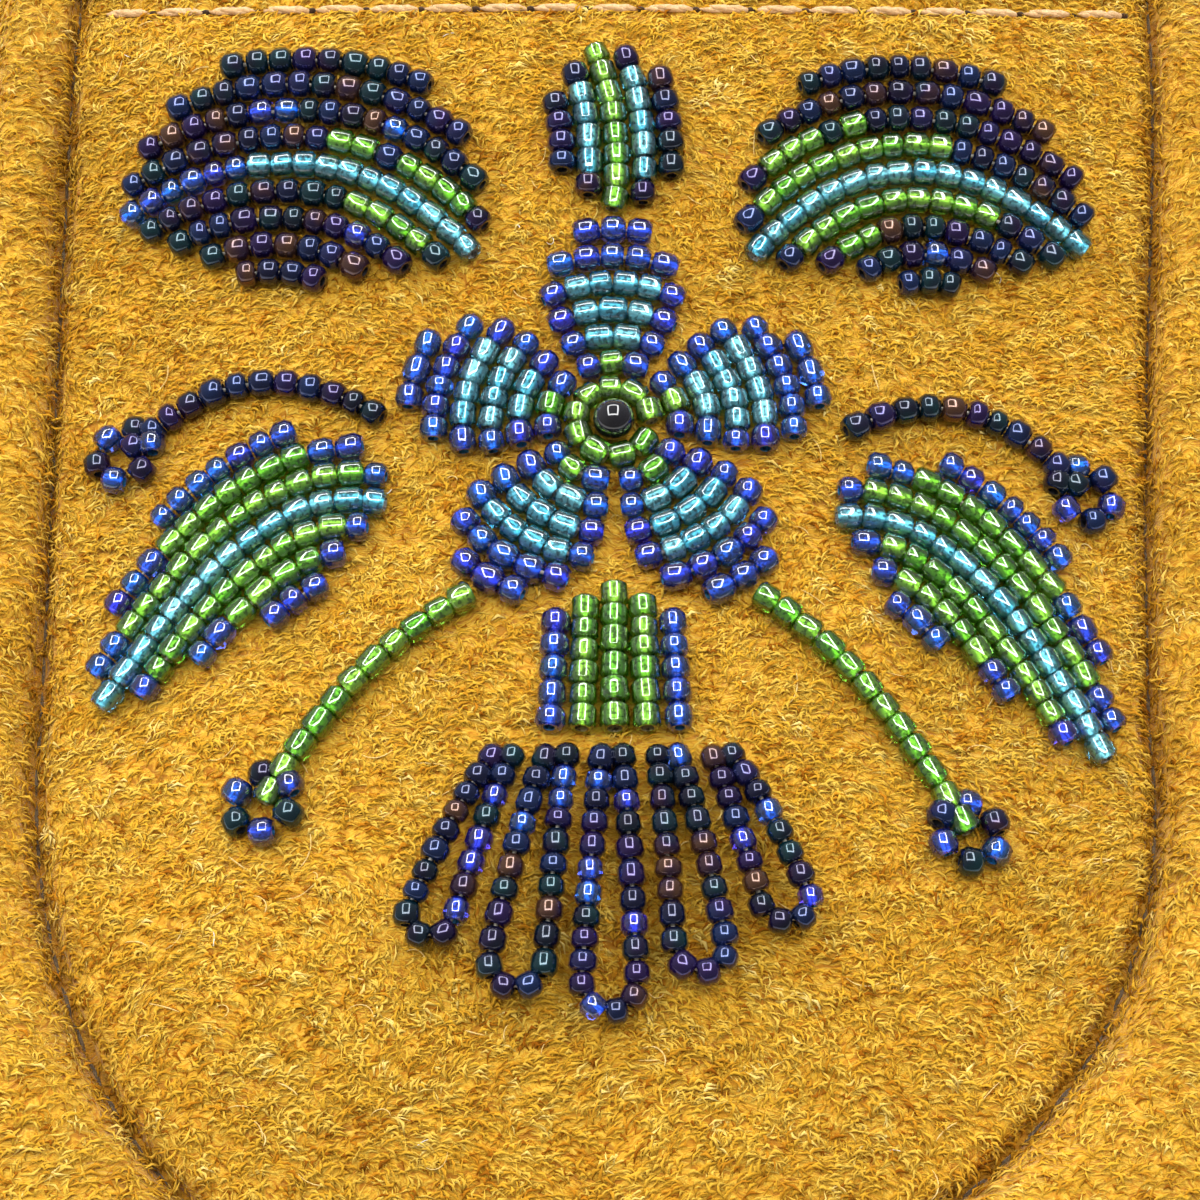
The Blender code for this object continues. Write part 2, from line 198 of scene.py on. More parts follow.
def natural_spline(xs, ys):
    """The natural cubic spline through the points, as a function."""
    xs, ys = np.asarray(xs, float), np.asarray(ys, float)
    step, count = np.diff(xs), len(xs)
    slope = np.diff(ys) / step
    system, right = np.eye(count), np.zeros(count)
    for i in range(1, count - 1):
        system[i, i - 1 : i + 2] = step[i - 1], 2 * (step[i - 1] + step[i]), step[i]
        right[i] = 6 * (slope[i] - slope[i - 1])
    bend = np.linalg.solve(system, right)

    def at(x):
        i = np.clip(np.searchsorted(xs, x) - 1, 0, count - 2)
        t = np.clip(x, xs[0], xs[-1]) - xs[i]
        first = slope[i] - step[i] * (2 * bend[i] + bend[i + 1]) / 6
        cubic = (bend[i + 1] - bend[i]) / (6 * step[i])
        return ys[i] + t * (first + t * (bend[i] / 2 + t * cubic))

    return at


def level_spline(xs, ys):
    """A smooth curve through the points that never overshoots."""
    xs, ys = np.asarray(xs, float), np.asarray(ys, float)
    step = np.diff(xs)
    slope = np.diff(ys) / step
    tangent = np.zeros(len(xs))
    for i in range(1, len(xs) - 1):
        if slope[i - 1] * slope[i] > 0:
            left, right = 2 * step[i] + step[i - 1], step[i] + 2 * step[i - 1]
            tangent[i] = (left + right) / (left / slope[i - 1] + right / slope[i])
    tangent[0], tangent[-1] = slope[0], slope[-1]

    def at(x):
        i = np.clip(np.searchsorted(xs, x) - 1, 0, len(xs) - 2)
        t = np.clip((x - xs[i]) / step[i], 0, 1)
        rest = 1 - t
        ends = ys[i] * rest**2 * (1 + 2 * t) + ys[i + 1] * t**2 * (3 - 2 * t)
        return ends + step[i] * t * rest * (tangent[i] * rest - tangent[i + 1] * t)

    return at


class ShoeLine:
    """A closed line round the shoe in plan: one curve on each side between two round ends."""

    def __init__(self, sections, toe, heel):
        self.toe, self.heel = toe, heel
        y = column(sections, "y")
        self.width = {side: natural_spline(y, column(sections, side)) for side in SIDES}

    def x(self, side, y):
        width = self.width[side](y)
        middle = 0.0
        for end in (self.toe, self.heel):
            reach = np.clip((y - end.start) / (end.tip - end.start), 0, 1)
            power = getattr(end, side + "_power")
            width = width * (1 - reach**power) ** (1 / power)
            middle = middle + end.shift * reach**2
        return middle + SIDES[side] * width

    def ring(self, y):
        """Points from the toe's tip down the inner side to the heel's tip and back up the outer side."""
        inner = np.stack([self.x("medial", y), y], axis=1)
        outer = np.stack([self.x("lateral", y), y], axis=1)
        return np.concatenate([inner, outer[-2:0:-1]])


SOLE_LINE = ShoeLine(SOLE_SECTIONS, SOLE_TOE, SOLE_HEEL)
EDGE_LINE = ShoeLine(EDGE_SECTIONS, EDGE_TOE, EDGE_HEEL)
edge_height = natural_spline(column(EDGE_HEIGHTS, "y"), column(EDGE_HEIGHTS, "height"))
edge_y = natural_spline(column(SECTION_PAIRS, "sole_y"), column(SECTION_PAIRS, "edge_y"))
vamp_crown = level_spline(column(VAMP_CROWNS, "y"), column(VAMP_CROWNS, "height"))
sole_lift = level_spline(column(SOLE_PROFILE, "y"), column(SOLE_PROFILE, "lift"))
sole_thickness = level_spline(column(SOLE_PROFILE, "y"), column(SOLE_PROFILE, "thickness"))
wall_y = column(WALL_SECTIONS, "y")
wall_handles = {
    name: natural_spline(wall_y, column(WALL_SECTIONS, name)) for name in WallSection._fields[2:]
}


def sole_top(y):
    return sole_lift(y) + sole_thickness(y)


def section_rows():
    """Y of each section of the sole's edge, closer together round both ends and beside the throat."""
    quarter = math.pi / 2
    toe_length, heel_length = SOLE_TOE.start - SOLE_TOE.tip, SOLE_HEEL.tip - SOLE_HEEL.start
    toe = SOLE_TOE.start - toe_length * np.cos(np.linspace(0, quarter, TOE_ROWS + 1))
    to_throat = (1 - np.linspace(0, 1, FRONT_ROWS + 1)) ** DENSER_TO_THROAT
    front = THROAT_Y - (THROAT_Y - SOLE_TOE.start) * to_throat
    back = np.linspace(THROAT_Y, SOLE_HEEL.start, BACK_ROWS + 1)
    heel = SOLE_HEEL.start + heel_length * np.sin(np.linspace(0, quarter, HEEL_ROWS + 1))
    return np.concatenate([toe, front[1:], back[1:], heel[1:]])


def outward(ring):
    """Unit normals in plan of a closed ring of points, away from its middle."""
    tangent = np.roll(ring, -1, axis=0) - np.roll(ring, 1, axis=0)
    return unit(np.stack([-tangent[:, 1], tangent[:, 0]], axis=1))


def inset_ring(y, inset):
    ring = SOLE_LINE.ring(y)
    return ring - inset * outward(ring)


def with_height(ring, z):
    return np.column_stack([ring, np.broadcast_to(z, len(ring))])


def ring_handle(medial, lateral, y):
    inner, outer = wall_handles[medial](y), wall_handles[lateral](y)
    return np.concatenate([inner, outer[-2:0:-1]])[:, None]


def wall_grid(y):
    """Rows of the upper's side wall from its foot on the sole to its top line."""
    foot_plan = inset_ring(y, FEATHER_INSET)
    foot = with_height(foot_plan, sole_top(foot_plan[:, 1]) + CLEARANCE)
    feather = foot + [0, 0, FEATHER_RISE]
    edge_plan = EDGE_LINE.ring(edge_y(y))
    edge = with_height(edge_plan, edge_height(edge_plan[:, 1]))
    out = with_height(outward(SOLE_LINE.ring(y)), 0)
    low = feather + out * ring_handle("medial_low", "lateral_low", y)
    low = low + [0, 0, 1] * ring_handle("low_up", "low_up", y)
    top = edge + out * ring_handle("medial_top", "lateral_top", y)
    top = top + [0, 0, 1] * ring_handle("top_up", "top_up", y)
    rows = [foot]
    for t in 1 - (1 - np.linspace(0, 1, WALL_ROWS + 1)) ** DENSER_TO_EDGE:
        weights = (1 - t) ** 3, 3 * t * (1 - t) ** 2, 3 * t**2 * (1 - t), t**3
        rows.append(sum(w * p for w, p in zip(weights, (feather, low, top, edge))))
    return np.array(rows)


def vamp_height(x, y):
    """Height of the vamp's outer face: level with the seam at its edge, and crowned over the middle."""
    x, y = np.asarray(x, float), np.asarray(y, float)
    reach = np.clip((y - EDGE_TOE.start) / (EDGE_TOE.tip - EDGE_TOE.start), 0, 1)
    offset = x - EDGE_TOE.shift * reach**2
    inner = offset < 0
    power = np.where(inner, EDGE_TOE.medial_power, EDGE_TOE.lateral_power)
    width = np.where(inner, EDGE_LINE.width["medial"](y), EDGE_LINE.width["lateral"](y))
    toward_seam = ((np.abs(offset) / width) ** power + reach**power) ** (2 / power)
    return edge_height(y) + vamp_crown(y) * (1 - np.minimum(toward_seam, 1))


def vamp_row(inner, outer):
    """Points of one row of the vamp between its ends on the seam, curved like the throat's edge near it."""
    toward_throat = max((inner[1] - EDGE_TOE.start) / (THROAT_Y - EDGE_TOE.start), 0)
    s = np.linspace(0, 1, VAMP_COLUMNS + 1)[1:-1]
    q = VAMP_EVEN * s + (1 - VAMP_EVEN) * (1 - np.cos(math.pi * s)) / 2
    x = inner[0] * (1 - q) + outer[0] * q
    y = inner[1] * (1 - q) + outer[1] * q - THROAT_DIP * toward_throat**2 * 4 * q * (1 - q)
    return np.column_stack([x, y, vamp_height(x, y)])


# ---------------------------------------------------------------- lines on the upper, and its relief

SEAM_DEPTH, SEAM_WIDTH = 1.25, 0.6
SEAM_ROLL, SEAM_ROLL_AT, SEAM_ROLL_WIDTH = 0.95, 4.0, 2.8
THROAT_HEM = 3.7  # from the vamp's top edge down to its row of stitches
COLLAR_HEM = 5.0
HEM_DEPTH, HEM_WIDTH = 0.42, 0.8
BACK_SEAM_DEPTH, BACK_SEAM_WIDTH = 0.5, 0.8
Ripple = namedtuple("Ripple", "name length height")
RIPPLES = (Ripple("slow", 26.0, 0.42), Ripple("middle", 11.0, 0.2), Ripple("short", 5.0, 0.09))

# Soft creases of the suede: a trough from one end to the other, with a low ridge on each side
Crease = namedtuple("Crease", "place start end depth width")
CREASES = (
    Crease("inner flex, front", (-52, -62, 30), (-47, -52, 46), 0.8, 3.2),
    Crease("inner flex, middle", (-52, -48, 24), (-48, -38, 44), 1.0, 3.6),
    Crease("inner flex, back", (-49, -31, 20), (-47, -24, 38), 0.7, 3.4),
    Crease("outer flex, front", (52, -66, 26), (47, -56, 44), 0.8, 3.2),
    Crease("outer flex, middle", (53, -48, 22), (49, -40, 42), 1.0, 3.8),
    Crease("outer flex, back", (51, -30, 18), (48, -24, 36), 0.6, 3.4),
    Crease("inner throat fold", (-45, 4, 52), (-40, 18, 30), 1.3, 4.0),
    Crease("outer throat fold", (47, 2, 52), (45, 18, 30), 1.3, 4.0),
    Crease("inner ankle fold", (-37, 44, 48), (-37, 66, 26), 1.5, 4.2),
    Crease("outer ankle fold", (39, 46, 48), (37, 68, 24), 1.5, 4.2),
    Crease("inner heel slump", (-34, 96, 16), (-24, 118, 28), 1.2, 3.8),
    Crease("outer heel slump", (34, 98, 18), (20, 121, 32), 1.2, 3.8),
    Crease("toe fold, outer", (24, -119, 24), (38, -106, 34), 0.9, 3.0),
    Crease("toe fold, inner", (-36, -112, 22), (-44, -98, 30), 0.7, 3.0),
    Crease("vamp hollow, outer", (36, -86, 42), (26, -98, 41), 0.5, 5.0),
    Crease("vamp hollow, inner", (-40, -22, 56), (-36, -40, 50), 0.35, 5.0),
)
CREASE_RIDGE = 0.4  # height of a ridge, of its trough's depth
CREASE_RIDGE_AT = 1.9  # how far a ridge lies from its trough, in the trough's widths
FOOT_HEIGHT, FOOT_CALM = 6.0, 8.0  # the ripples die away over this height above the foot of the wall
THROAT_CALM, THROAT_CALM_WIDTH = 0.7, 8.0  # and by this share beside the throat's stitches

fine_y = section_rows()
edge_plan = EDGE_LINE.ring(edge_y(fine_y))
edge_ring = with_height(edge_plan, edge_height(edge_plan[:, 1]))
THROAT_ROW = TOE_ROWS + FRONT_ROWS
seam_line = np.concatenate([edge_ring[THROAT_ROW::-1], edge_ring[: -THROAT_ROW - 1 : -1]])
collar_line = edge_ring[THROAT_ROW : len(edge_ring) - THROAT_ROW + 1]


def throat_line(back_by):
    """The vamp's top edge from the inner seam to the outer one, moved towards the toe."""
    y = THROAT_Y - back_by
    return vamp_row((EDGE_LINE.x("medial", y), y), (EDGE_LINE.x("lateral", y), y))


def distance_to(points, line):
    """How far each point is from the nearest place on a line of points."""
    start, run = line[:-1], np.diff(line, axis=0)
    length = (run**2).sum(1)
    nearest = np.full(len(points), np.inf)
    for a, r, square in zip(start, run, length):
        t = np.clip((points - a) @ r / square, 0, 1)[:, None]
        nearest = np.minimum(nearest, ((points - a - t * r) ** 2).sum(1))
    return np.sqrt(nearest)


def bump(distance, width):
    return np.exp(-((distance / width) ** 2))


def crease_relief(points, crease):
    a, b = np.array(crease.start, float), np.array(crease.end, float)
    t = (points - a) @ (b - a) / ((b - a) ** 2).sum()
    across = np.linalg.norm(points - a - np.clip(t, 0, 1)[:, None] * (b - a), axis=1)
    ridge = CREASE_RIDGE * bump(across - CREASE_RIDGE_AT * crease.width, crease.width)
    return -crease.depth * (bump(across, crease.width) - ridge)


def ripple_relief(points):
    total = np.zeros(len(points))
    for ripple in RIPPLES:
        values = [noise.noise(Vector(p / ripple.length)) for p in points]
        total += ripple.height * np.array(values)
    return total


def relief(points, beyond_seam):
    """How far each point of the upper's outer face stands out from its plain form.

    beyond_seam is 1 on the side wall and 0 on the vamp.
    """
    from_seam = distance_to(points, seam_line)
    from_collar = distance_to(points, collar_line)
    from_throat = distance_to(points, throat_line(THROAT_HEM))
    calm = np.clip((points[:, 2] - FOOT_HEIGHT) / FOOT_CALM, 0, 1)
    calm = calm * (1 - THROAT_CALM * bump(from_throat, THROAT_CALM_WIDTH))
    out = ripple_relief(points) * calm
    out -= SEAM_DEPTH * bump(from_seam, SEAM_WIDTH)
    out += beyond_seam * SEAM_ROLL * bump(from_seam - SEAM_ROLL_AT, SEAM_ROLL_WIDTH)
    out -= HEM_DEPTH * bump(from_collar - COLLAR_HEM, HEM_WIDTH) * beyond_seam
    out -= HEM_DEPTH * bump(from_throat, HEM_WIDTH) * (1 - beyond_seam)
    at_back = (points[:, 1] > SOLE_HEEL.start) * beyond_seam
    out -= BACK_SEAM_DEPTH * bump(points[:, 0] - SOLE_HEEL.shift, BACK_SEAM_WIDTH) * at_back
    for crease in CREASES:
        out += crease_relief(points, crease)
    return out


# ---------------------------------------------------------------- meshes


def build_mesh(name, points, faces):
    mesh = bpy.data.meshes.new(name)
    mesh.from_pydata((np.asarray(points) * MM).tolist(), [], faces)
    mesh.update()
    return mesh


def normals_of(points, faces):
    """The normal of a sheet of faces at each of its points."""
    mesh = build_mesh("measure", points, faces)
    normals = np.empty(len(points) * 3, np.float32)
    mesh.vertex_normals.foreach_get("vector", normals)
    bpy.data.meshes.remove(mesh)
    return normals.reshape(-1, 3)


def open_edges(faces):
    """The edges round an open sheet, in the direction of the one face that uses each."""
    used = {(a, b) for face in faces for a, b in zip(face, (*face[1:], face[0]))}
    return [(a, b) for a, b in used if (b, a) not in used]


def shell_mesh(name, outer, inner, faces):
    """A closed wall between two like sheets: material 0 outside, 1 inside and 2 on the cut edges."""
    count = len(outer)
    rims = open_edges(faces)
    inside = [tuple(corner + count for corner in reversed(face)) for face in faces]
    closing = [(b, a, a + count, b + count) for a, b in rims]
    mesh = build_mesh(name, np.concatenate([outer, inner]), faces + inside + closing)
    slots = np.repeat([0, 1, 2], [len(faces), len(faces), len(closing)])
    mesh.polygons.foreach_set("material_index", slots)
    edged = {frozenset(edge) for a, b in rims for edge in ((a, b), (a + count, b + count))}
    weights = [float(frozenset(edge.vertices) in edged) for edge in mesh.edges]
    mesh.attributes.new("bevel_weight_edge", "FLOAT", "EDGE").data.foreach_set("value", weights)
    return mesh


def rounded_shell(name, skin, materials, radius):
    """A wall as an object, with its cut edges slightly rounded."""
    mesh = shell_mesh(name, skin.points, skin.inner, skin.faces)
    for material in materials:
        mesh.materials.append(material)
    made = add_object(name, mesh)
    rounding = made.modifiers.new("Rounded edge", "BEVEL")
    rounding.limit_method = "WEIGHT"
    rounding.width = radius * MM
    rounding.segments = 2
    return made


def store(mesh, name, values, kind="FLOAT"):
    """Keeps one value for each point of a mesh as a named attribute."""
    attribute = mesh.attributes.new(name, kind, "POINT")
    field = "vector" if kind == "FLOAT_VECTOR" else "value"
    attribute.data.foreach_set(field, np.asarray(values, np.float32).ravel())


def add_object(name, mesh):
    made = bpy.data.objects.new(name, mesh)
    bpy.context.scene.collection.objects.link(made)
    return made


def smooth(mesh, angle):
    """Shades the mesh smooth, apart from its edges sharper than the angle in degrees."""
    mesh.shade_smooth()
    mesh.set_sharp_from_angle(angle=math.radians(angle))


def frozen(made):
    """The object with its modifiers applied to its mesh."""
    bpy.context.view_layer.update()
    graph = bpy.context.evaluated_depsgraph_get()
    mesh = bpy.data.meshes.new_from_object(made.evaluated_get(graph))
    made.modifiers.clear()
    old, made.data = made.data, mesh
    bpy.data.meshes.remove(old)
    mesh.name = made.name
    return made


def finish_piece(made, slot, *replaced):
    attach(made, BODY)
    if replaced:
        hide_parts(*replaced)
    return made


def tube_points(path, radius, sides):
    """Rings of points round a path, with a pole at each end."""
    path = np.asarray(path, float)
    tangent = unit(np.gradient(path, axis=0))
    side = np.cross(tangent, np.tile([0.0, 0.0, 1.0], (len(path), 1)))
    side /= np.maximum(np.linalg.norm(side, axis=1), 1e-9)[:, None]
    up = np.cross(side, tangent)
    angle = np.arange(sides) * 2 * math.pi / sides
    radius = np.broadcast_to(radius, len(path))[:, None, None]
    ring = np.cos(angle)[None, :, None] * side[:, None] + np.sin(angle)[None, :, None] * up[:, None]
    rings = path[:, None] + radius * ring
    return np.concatenate([path[:1], rings.reshape(-1, 3), path[-1:]])


def tube_faces(rows, sides, start=0):
    """Faces of a tube made by tube_points, closed at its two poles."""
    faces = []
    last = start + rows * sides + 1
    for s in range(sides):
        n = (s + 1) % sides
        faces.append((start, start + 1 + n, start + 1 + s))
        faces.append((last, last - sides + s, last - sides + n))
        for r in range(rows - 1):
            low, high = start + 1 + r * sides, start + 1 + (r + 1) * sides
            faces.append((low + s, low + n, high + n, high + s))
    return faces


def ball_object(name, around, rings):
    """A ball a millimetre wide, to copy."""
    work = bmesh.new()
    bmesh.ops.create_uvsphere(work, u_segments=around, v_segments=rings, radius=0.5 * MM)
    mesh = bpy.data.meshes.new(name)
    work.to_mesh(mesh)
    work.free()
    mesh.shade_smooth()
    return add_object(name, mesh)


def joined_tubes(name, paths, sides):
    """One mesh of many closed tubes; each path is (points, radius)."""
    points, faces = [], []
    for path, radius in paths:
        faces += tube_faces(len(path), sides, len(points))
        points += list(tube_points(path, radius, sides))
    mesh = build_mesh(name, points, faces)
    mesh.shade_smooth()
    return mesh


# ---------------------------------------------------------------- node trees


class Tree:
    """A node tree being built, with short calls for the nodes used most."""

    def __init__(self, node_tree):
        self.node_tree = node_tree

    def connect(self, socket, value):
        self.node_tree.links.new(value, socket)

    def add(self, kind, inputs=(), **settings):
        node = self.node_tree.nodes.new(kind)
        for name, value in settings.items():
            setattr(node, name, value)
        for name, value in dict(inputs).items():
            if isinstance(value, bpy.types.NodeSocket):
                self.connect(node.inputs[name], value)
            else:
                node.inputs[name].default_value = value
        return node

    def maths(self, operation, a, b=0.0, clamp=False):
        inputs = {0: a, 1: b}
        return self.add("ShaderNodeMath", inputs, operation=operation, use_clamp=clamp).outputs[0]

    def product(self, a, b):
        return self.maths("MULTIPLY", a, b)

    def total(self, a, b):
        return self.maths("ADD", a, b)

    def vectors(self, operation, a, b):
        return self.add("ShaderNodeVectorMath", {0: a, 1: b}, operation=operation).outputs["Vector"]

    def dot(self, a, b):
        return self.add("ShaderNodeVectorMath", {0: a, 1: b}, operation="DOT_PRODUCT").outputs["Value"]

    def scaled(self, vector, scale):
        inputs = {0: vector, "Scale": scale}
        return self.add("ShaderNodeVectorMath", inputs, operation="SCALE").outputs["Vector"]

    def unit(self, vector):
        return self.add("ShaderNodeVectorMath", {0: vector}, operation="NORMALIZE").outputs["Vector"]

    def vector_noise(self, place, scale, distortion=0.0):
        """A vector that wanders smoothly from place to place, about zero."""
        values = self.noise(place, scale, 1.0, 0.5, distortion).outputs["Color"]
        return self.vectors("SUBTRACT", values, (0.5, 0.5, 0.5))

    def noise(self, vector, scale, detail=2.0, roughness=0.5, distortion=0.0):
        inputs = {
            "Vector": vector,
            "Scale": scale,
            "Detail": detail,
            "Roughness": roughness,
            "Distortion": distortion,
        }
        return self.add("ShaderNodeTexNoise", inputs)

    def grain(self, *settings):
        """The value alone of a noise."""
        return self.noise(*settings).outputs[0]

    def mix(self, factor, a, b, blend="MIX"):
        inputs = {0: factor, 6: a, 7: b}
        return self.add("ShaderNodeMix", inputs, data_type="RGBA", blend_type=blend).outputs[2]

    def ramp(self, factor, stops, interpolation="LINEAR"):
        """A colour for each value of the factor; stops is ((place, colour), ...)."""
        node = self.add("ShaderNodeValToRGB", {0: factor})
        band = node.color_ramp
        band.interpolation = interpolation
        while len(band.elements) < len(stops):
            band.elements.new(0.5)
        for element, (place, colour) in zip(band.elements, stops):
            element.position = place
            element.color = (*colour, 1)
        return node.outputs[0]

    def ease(self, value, low, high, to_low=0.0, to_high=1.0):
        inputs = {0: value, 1: low, 2: high, 3: to_low, 4: to_high}
        return self.add("ShaderNodeMapRange", inputs, interpolation_type="SMOOTHSTEP").outputs[0]

    def attribute(self, name, output="Fac"):
        return self.add("ShaderNodeAttribute", attribute_name=name).outputs[output]

    def bump(self, height, strength, distance):
        inputs = {"Height": height, "Strength": strength, "Distance": distance * MM}
        return self.add("ShaderNodeBump", inputs).outputs[0]

    def object_place(self):
        return self.add("ShaderNodeTexCoord").outputs["Object"]

    def random(self, low, high, seed, kind="FLOAT"):
        first, output = {"FLOAT": (2, 1), "FLOAT_VECTOR": (0, 0)}[kind]
        inputs = {first: low, first + 1: high, "Seed": seed}
        return self.add("FunctionNodeRandomValue", inputs, data_type=kind).outputs[output]

    def stored(self, name, kind):
        """A value kept at each point or face of the geometry."""
        return self.add("GeometryNodeInputNamedAttribute", {"Name": name}, data_type=kind).outputs[0]

    def store(self, copies, name, value, kind):
        """Keeps a value with each copy."""
        inputs = {"Geometry": copies, "Name": name, "Value": value}
        kept = self.add("GeometryNodeStoreNamedAttribute", inputs, data_type=kind, domain="INSTANCE")
        return kept.outputs[0]

    def turned(self, along, up):
        """The turn that takes a shape's X to one direction, and its Z as near as can be to another."""
        inputs = {"Primary Axis": along, "Secondary Axis": up}
        kind = "FunctionNodeAxesToRotation"
        return self.add(kind, inputs, primary_axis="X", secondary_axis="Z").outputs[0]

    def copies(self, points, shape, rotation, size):
        """A copy of an object's shape on each point."""
        solid = self.add("GeometryNodeObjectInfo", {"Object": shape}).outputs["Geometry"]
        inputs = {"Points": points, "Instance": solid, "Rotation": rotation, "Scale": size}
        return self.add("GeometryNodeInstanceOnPoints", inputs).outputs[0]

    def group(self, group, **values):
        """Places a node group with its named inputs, and returns its outputs."""
        node = self.node_tree.nodes.new("ShaderNodeGroup")
        node.node_tree = group
        for label, value in values.items():
            node.inputs[label].default_value = value
        return node.outputs


def new_group(name, kind, inputs, outputs):
    """An empty node group with named sockets. inputs is {name: (type, default)}, outputs {name: type}."""
    group = bpy.data.node_groups.new(name, kind)
    for label, (socket, value) in inputs.items():
        made = group.interface.new_socket(label, in_out="INPUT", socket_type="NodeSocket" + socket)
        if value is not None:
            made.default_value = value
    for label, socket in outputs.items():
        group.interface.new_socket(label, in_out="OUTPUT", socket_type="NodeSocket" + socket)
    tree = Tree(group)
    return tree, tree.add("NodeGroupInput").outputs, tree.add("NodeGroupOutput").inputs


def new_material(name, metallic=0.0, roughness=0.5, **plain):
    """A material with its one shader, and the tree to build in."""
    material = bpy.data.materials.new(name)
    material.use_nodes = True
    shader = material.node_tree.nodes["Principled BSDF"]
    shader.inputs["Metallic"].default_value = metallic
    shader.inputs["Roughness"].default_value = roughness
    for label, value in plain.items():
        shader.inputs[label.replace("_", " ")].default_value = value
    return material, Tree(material.node_tree), shader.inputs


# ---------------------------------------------------------------- colours and effects

# painted shade: the colour of the hollows between the clumps and of the shaded fibres of the nap
SUEDE_PAINTED_SHADE = (0.27, 0.088, 0.006)
SUEDE_LOW = (0.43, 0.165, 0.010)
SUEDE_MAIN = (0.588, 0.325, 0.026)
SUEDE_LIGHT = (0.67, 0.440, 0.072)
SUEDE_PALE = (0.81, 0.61, 0.20)
# painted shade of the seam's valley
SUEDE_SEAM_SHADE = (0.36, 0.145, 0.010)
TAN_THREAD = (0.52, 0.29, 0.11)
DARK_THREAD = (0.06, 0.035, 0.012)
PALE_THREAD = (0.62, 0.56, 0.45)
IRIS_COLOURS = (
    (0.0, (0.005, 0.007, 0.040)),
    (0.22, (0.008, 0.028, 0.115)),
    (0.42, (0.026, 0.009, 0.085)),
    (0.58, (0.006, 0.006, 0.026)),
    (0.74, (0.004, 0.040, 0.052)),
    (0.88, (0.018, 0.007, 0.050)),
    (1.0, (0.110, 0.048, 0.026)),
)
BLACK_COLOURS = ((0.3, (0.003, 0.003, 0.004)), (0.7, (0.008, 0.008, 0.012)))


def mottle_group():
    """Slow uneven patches, as in any hide, and shorter clumps of nap within them. On the suede they are
    partly the hide's own uneven colour and partly painted light and shade, of brushed patches and clumps of
    nap.
    """
    inputs = {"Patch": ("Float", 55.0), "Clump": ("Float", 420.0), "Amount": ("Float", 0.3)}
    tree, given, out = new_group("Hide mottle", "ShaderNodeTree", inputs, {"Value": "Float"})
    place = tree.object_place()
    patch = tree.grain(place, given["Patch"], 2.0, 0.6)
    clump = tree.grain(place, given["Clump"], 2.0, 0.5, 0.6)
    both = tree.total(tree.product(patch, 0.6), tree.product(clump, 0.4))
    spread = tree.product(tree.maths("SUBTRACT", both, 0.5), given["Amount"])
    tree.connect(out["Value"], tree.total(spread, 1.0))
    return tree.node_tree


def fibre_group():
    """Matted fibres that lie mostly across the shoe, in clumps with painted shade in the small hollows
    between them.
    """
    inputs = {"Clump": ("Float", 900.0), "Ridge": ("Float", 2100.0), "Hair": ("Float", 5200.0)}
    outputs = {"Height": "Float", "Hollow": "Float", "Hair": "Float"}
    tree, given, out = new_group("Matted fibre", "ShaderNodeTree", inputs, outputs)
    place = moved = tree.object_place()
    for scale, reach in ((170.0, 6.5), (800.0, 1.1)):
        moved = tree.vectors("ADD", moved, tree.scaled(tree.vector_noise(place, scale), reach * MM))
    clump_way, ridge_way, hair_way = (
        tree.vectors("MULTIPLY", moved, (across, 1.0, 1.0)) for across in (0.6, 0.42, 0.2)
    )
    clump = tree.grain(clump_way, given["Clump"], 1.0, 0.5)
    ridge = tree.grain(ridge_way, given["Ridge"], 2.0, 0.55, 0.25)
    hair = tree.grain(hair_way, given["Hair"], 2.0, 0.6)
    height = tree.total(clump, tree.product(ridge, 0.7))
    tree.connect(out["Height"], tree.total(height, tree.product(hair, 0.4)))
    depth = tree.total(tree.product(clump, 0.5), ridge)
    # how deep the painted shade in the hollows between the clumps is
    tree.connect(out["Hollow"], tree.ease(depth, 0.56, 0.70, 1.0, 0.0))
    tree.connect(out["Hair"], hair)
    return tree.node_tree


mottle = mottle_group()
fibre = fibre_group()


def tinted(tree, colour, value):
    """The colour made lighter or darker by a value about 1."""
    grey = tree.add("ShaderNodeCombineColor", {0: value, 1: value, 2: value}).outputs[0]
    return tree.mix(1.0, colour, grey, "MULTIPLY")


def suede_skin_material():
    """The hide under the nap: deeper in colour, with painted shade in the hollows between its clumps, and
    with its own matted relief.
    """
    material, tree, shader = new_material(
        "Suede hide", 0.0, 0.95, Sheen_Weight=0.15, Sheen_Roughness=0.5, Specular_IOR_Level=0.1
    )
    # partly the hide's own uneven colour, partly painted light and shade of brushed and clumped nap
    patches = tree.group(mottle, Patch=60.0, Clump=480.0, Amount=0.6)["Value"]
    fibres = tree.group(fibre, Clump=900.0, Ridge=2100.0, Hair=5200.0)
    stops = ((0.33, SUEDE_LOW), (0.54, SUEDE_MAIN), (0.78, SUEDE_LIGHT))
    colour = tree.ramp(fibres["Hair"], stops)
    # painted shade in the hollows between the clumps
    colour = tree.mix(tree.product(fibres["Hollow"], 0.75), colour, (*SUEDE_PAINTED_SHADE, 1))
    # painted shade in the seam's valley
    colour = tree.mix(tree.attribute("seam"), colour, (*SUEDE_SEAM_SHADE, 1))
    colour = tinted(tree, colour, patches)
    tree.connect(shader["Base Color"], colour)
    tree.connect(shader["Normal"], tree.bump(fibres["Height"], 1.0, 0.35))
    return material


NAP_MATTING = 0.45  # how much the fibres catch the light as one surface and not each alone
# the darkest tone is painted shade, and the tufts' painted light and shade raise and lower the fibres' tones
NAP_TONES = (
    (0.0, SUEDE_PAINTED_SHADE),
    (0.06, SUEDE_LOW),
    (0.4, SUEDE_MAIN),
    (0.75, SUEDE_LIGHT),
    (1.0, SUEDE_PALE),
)


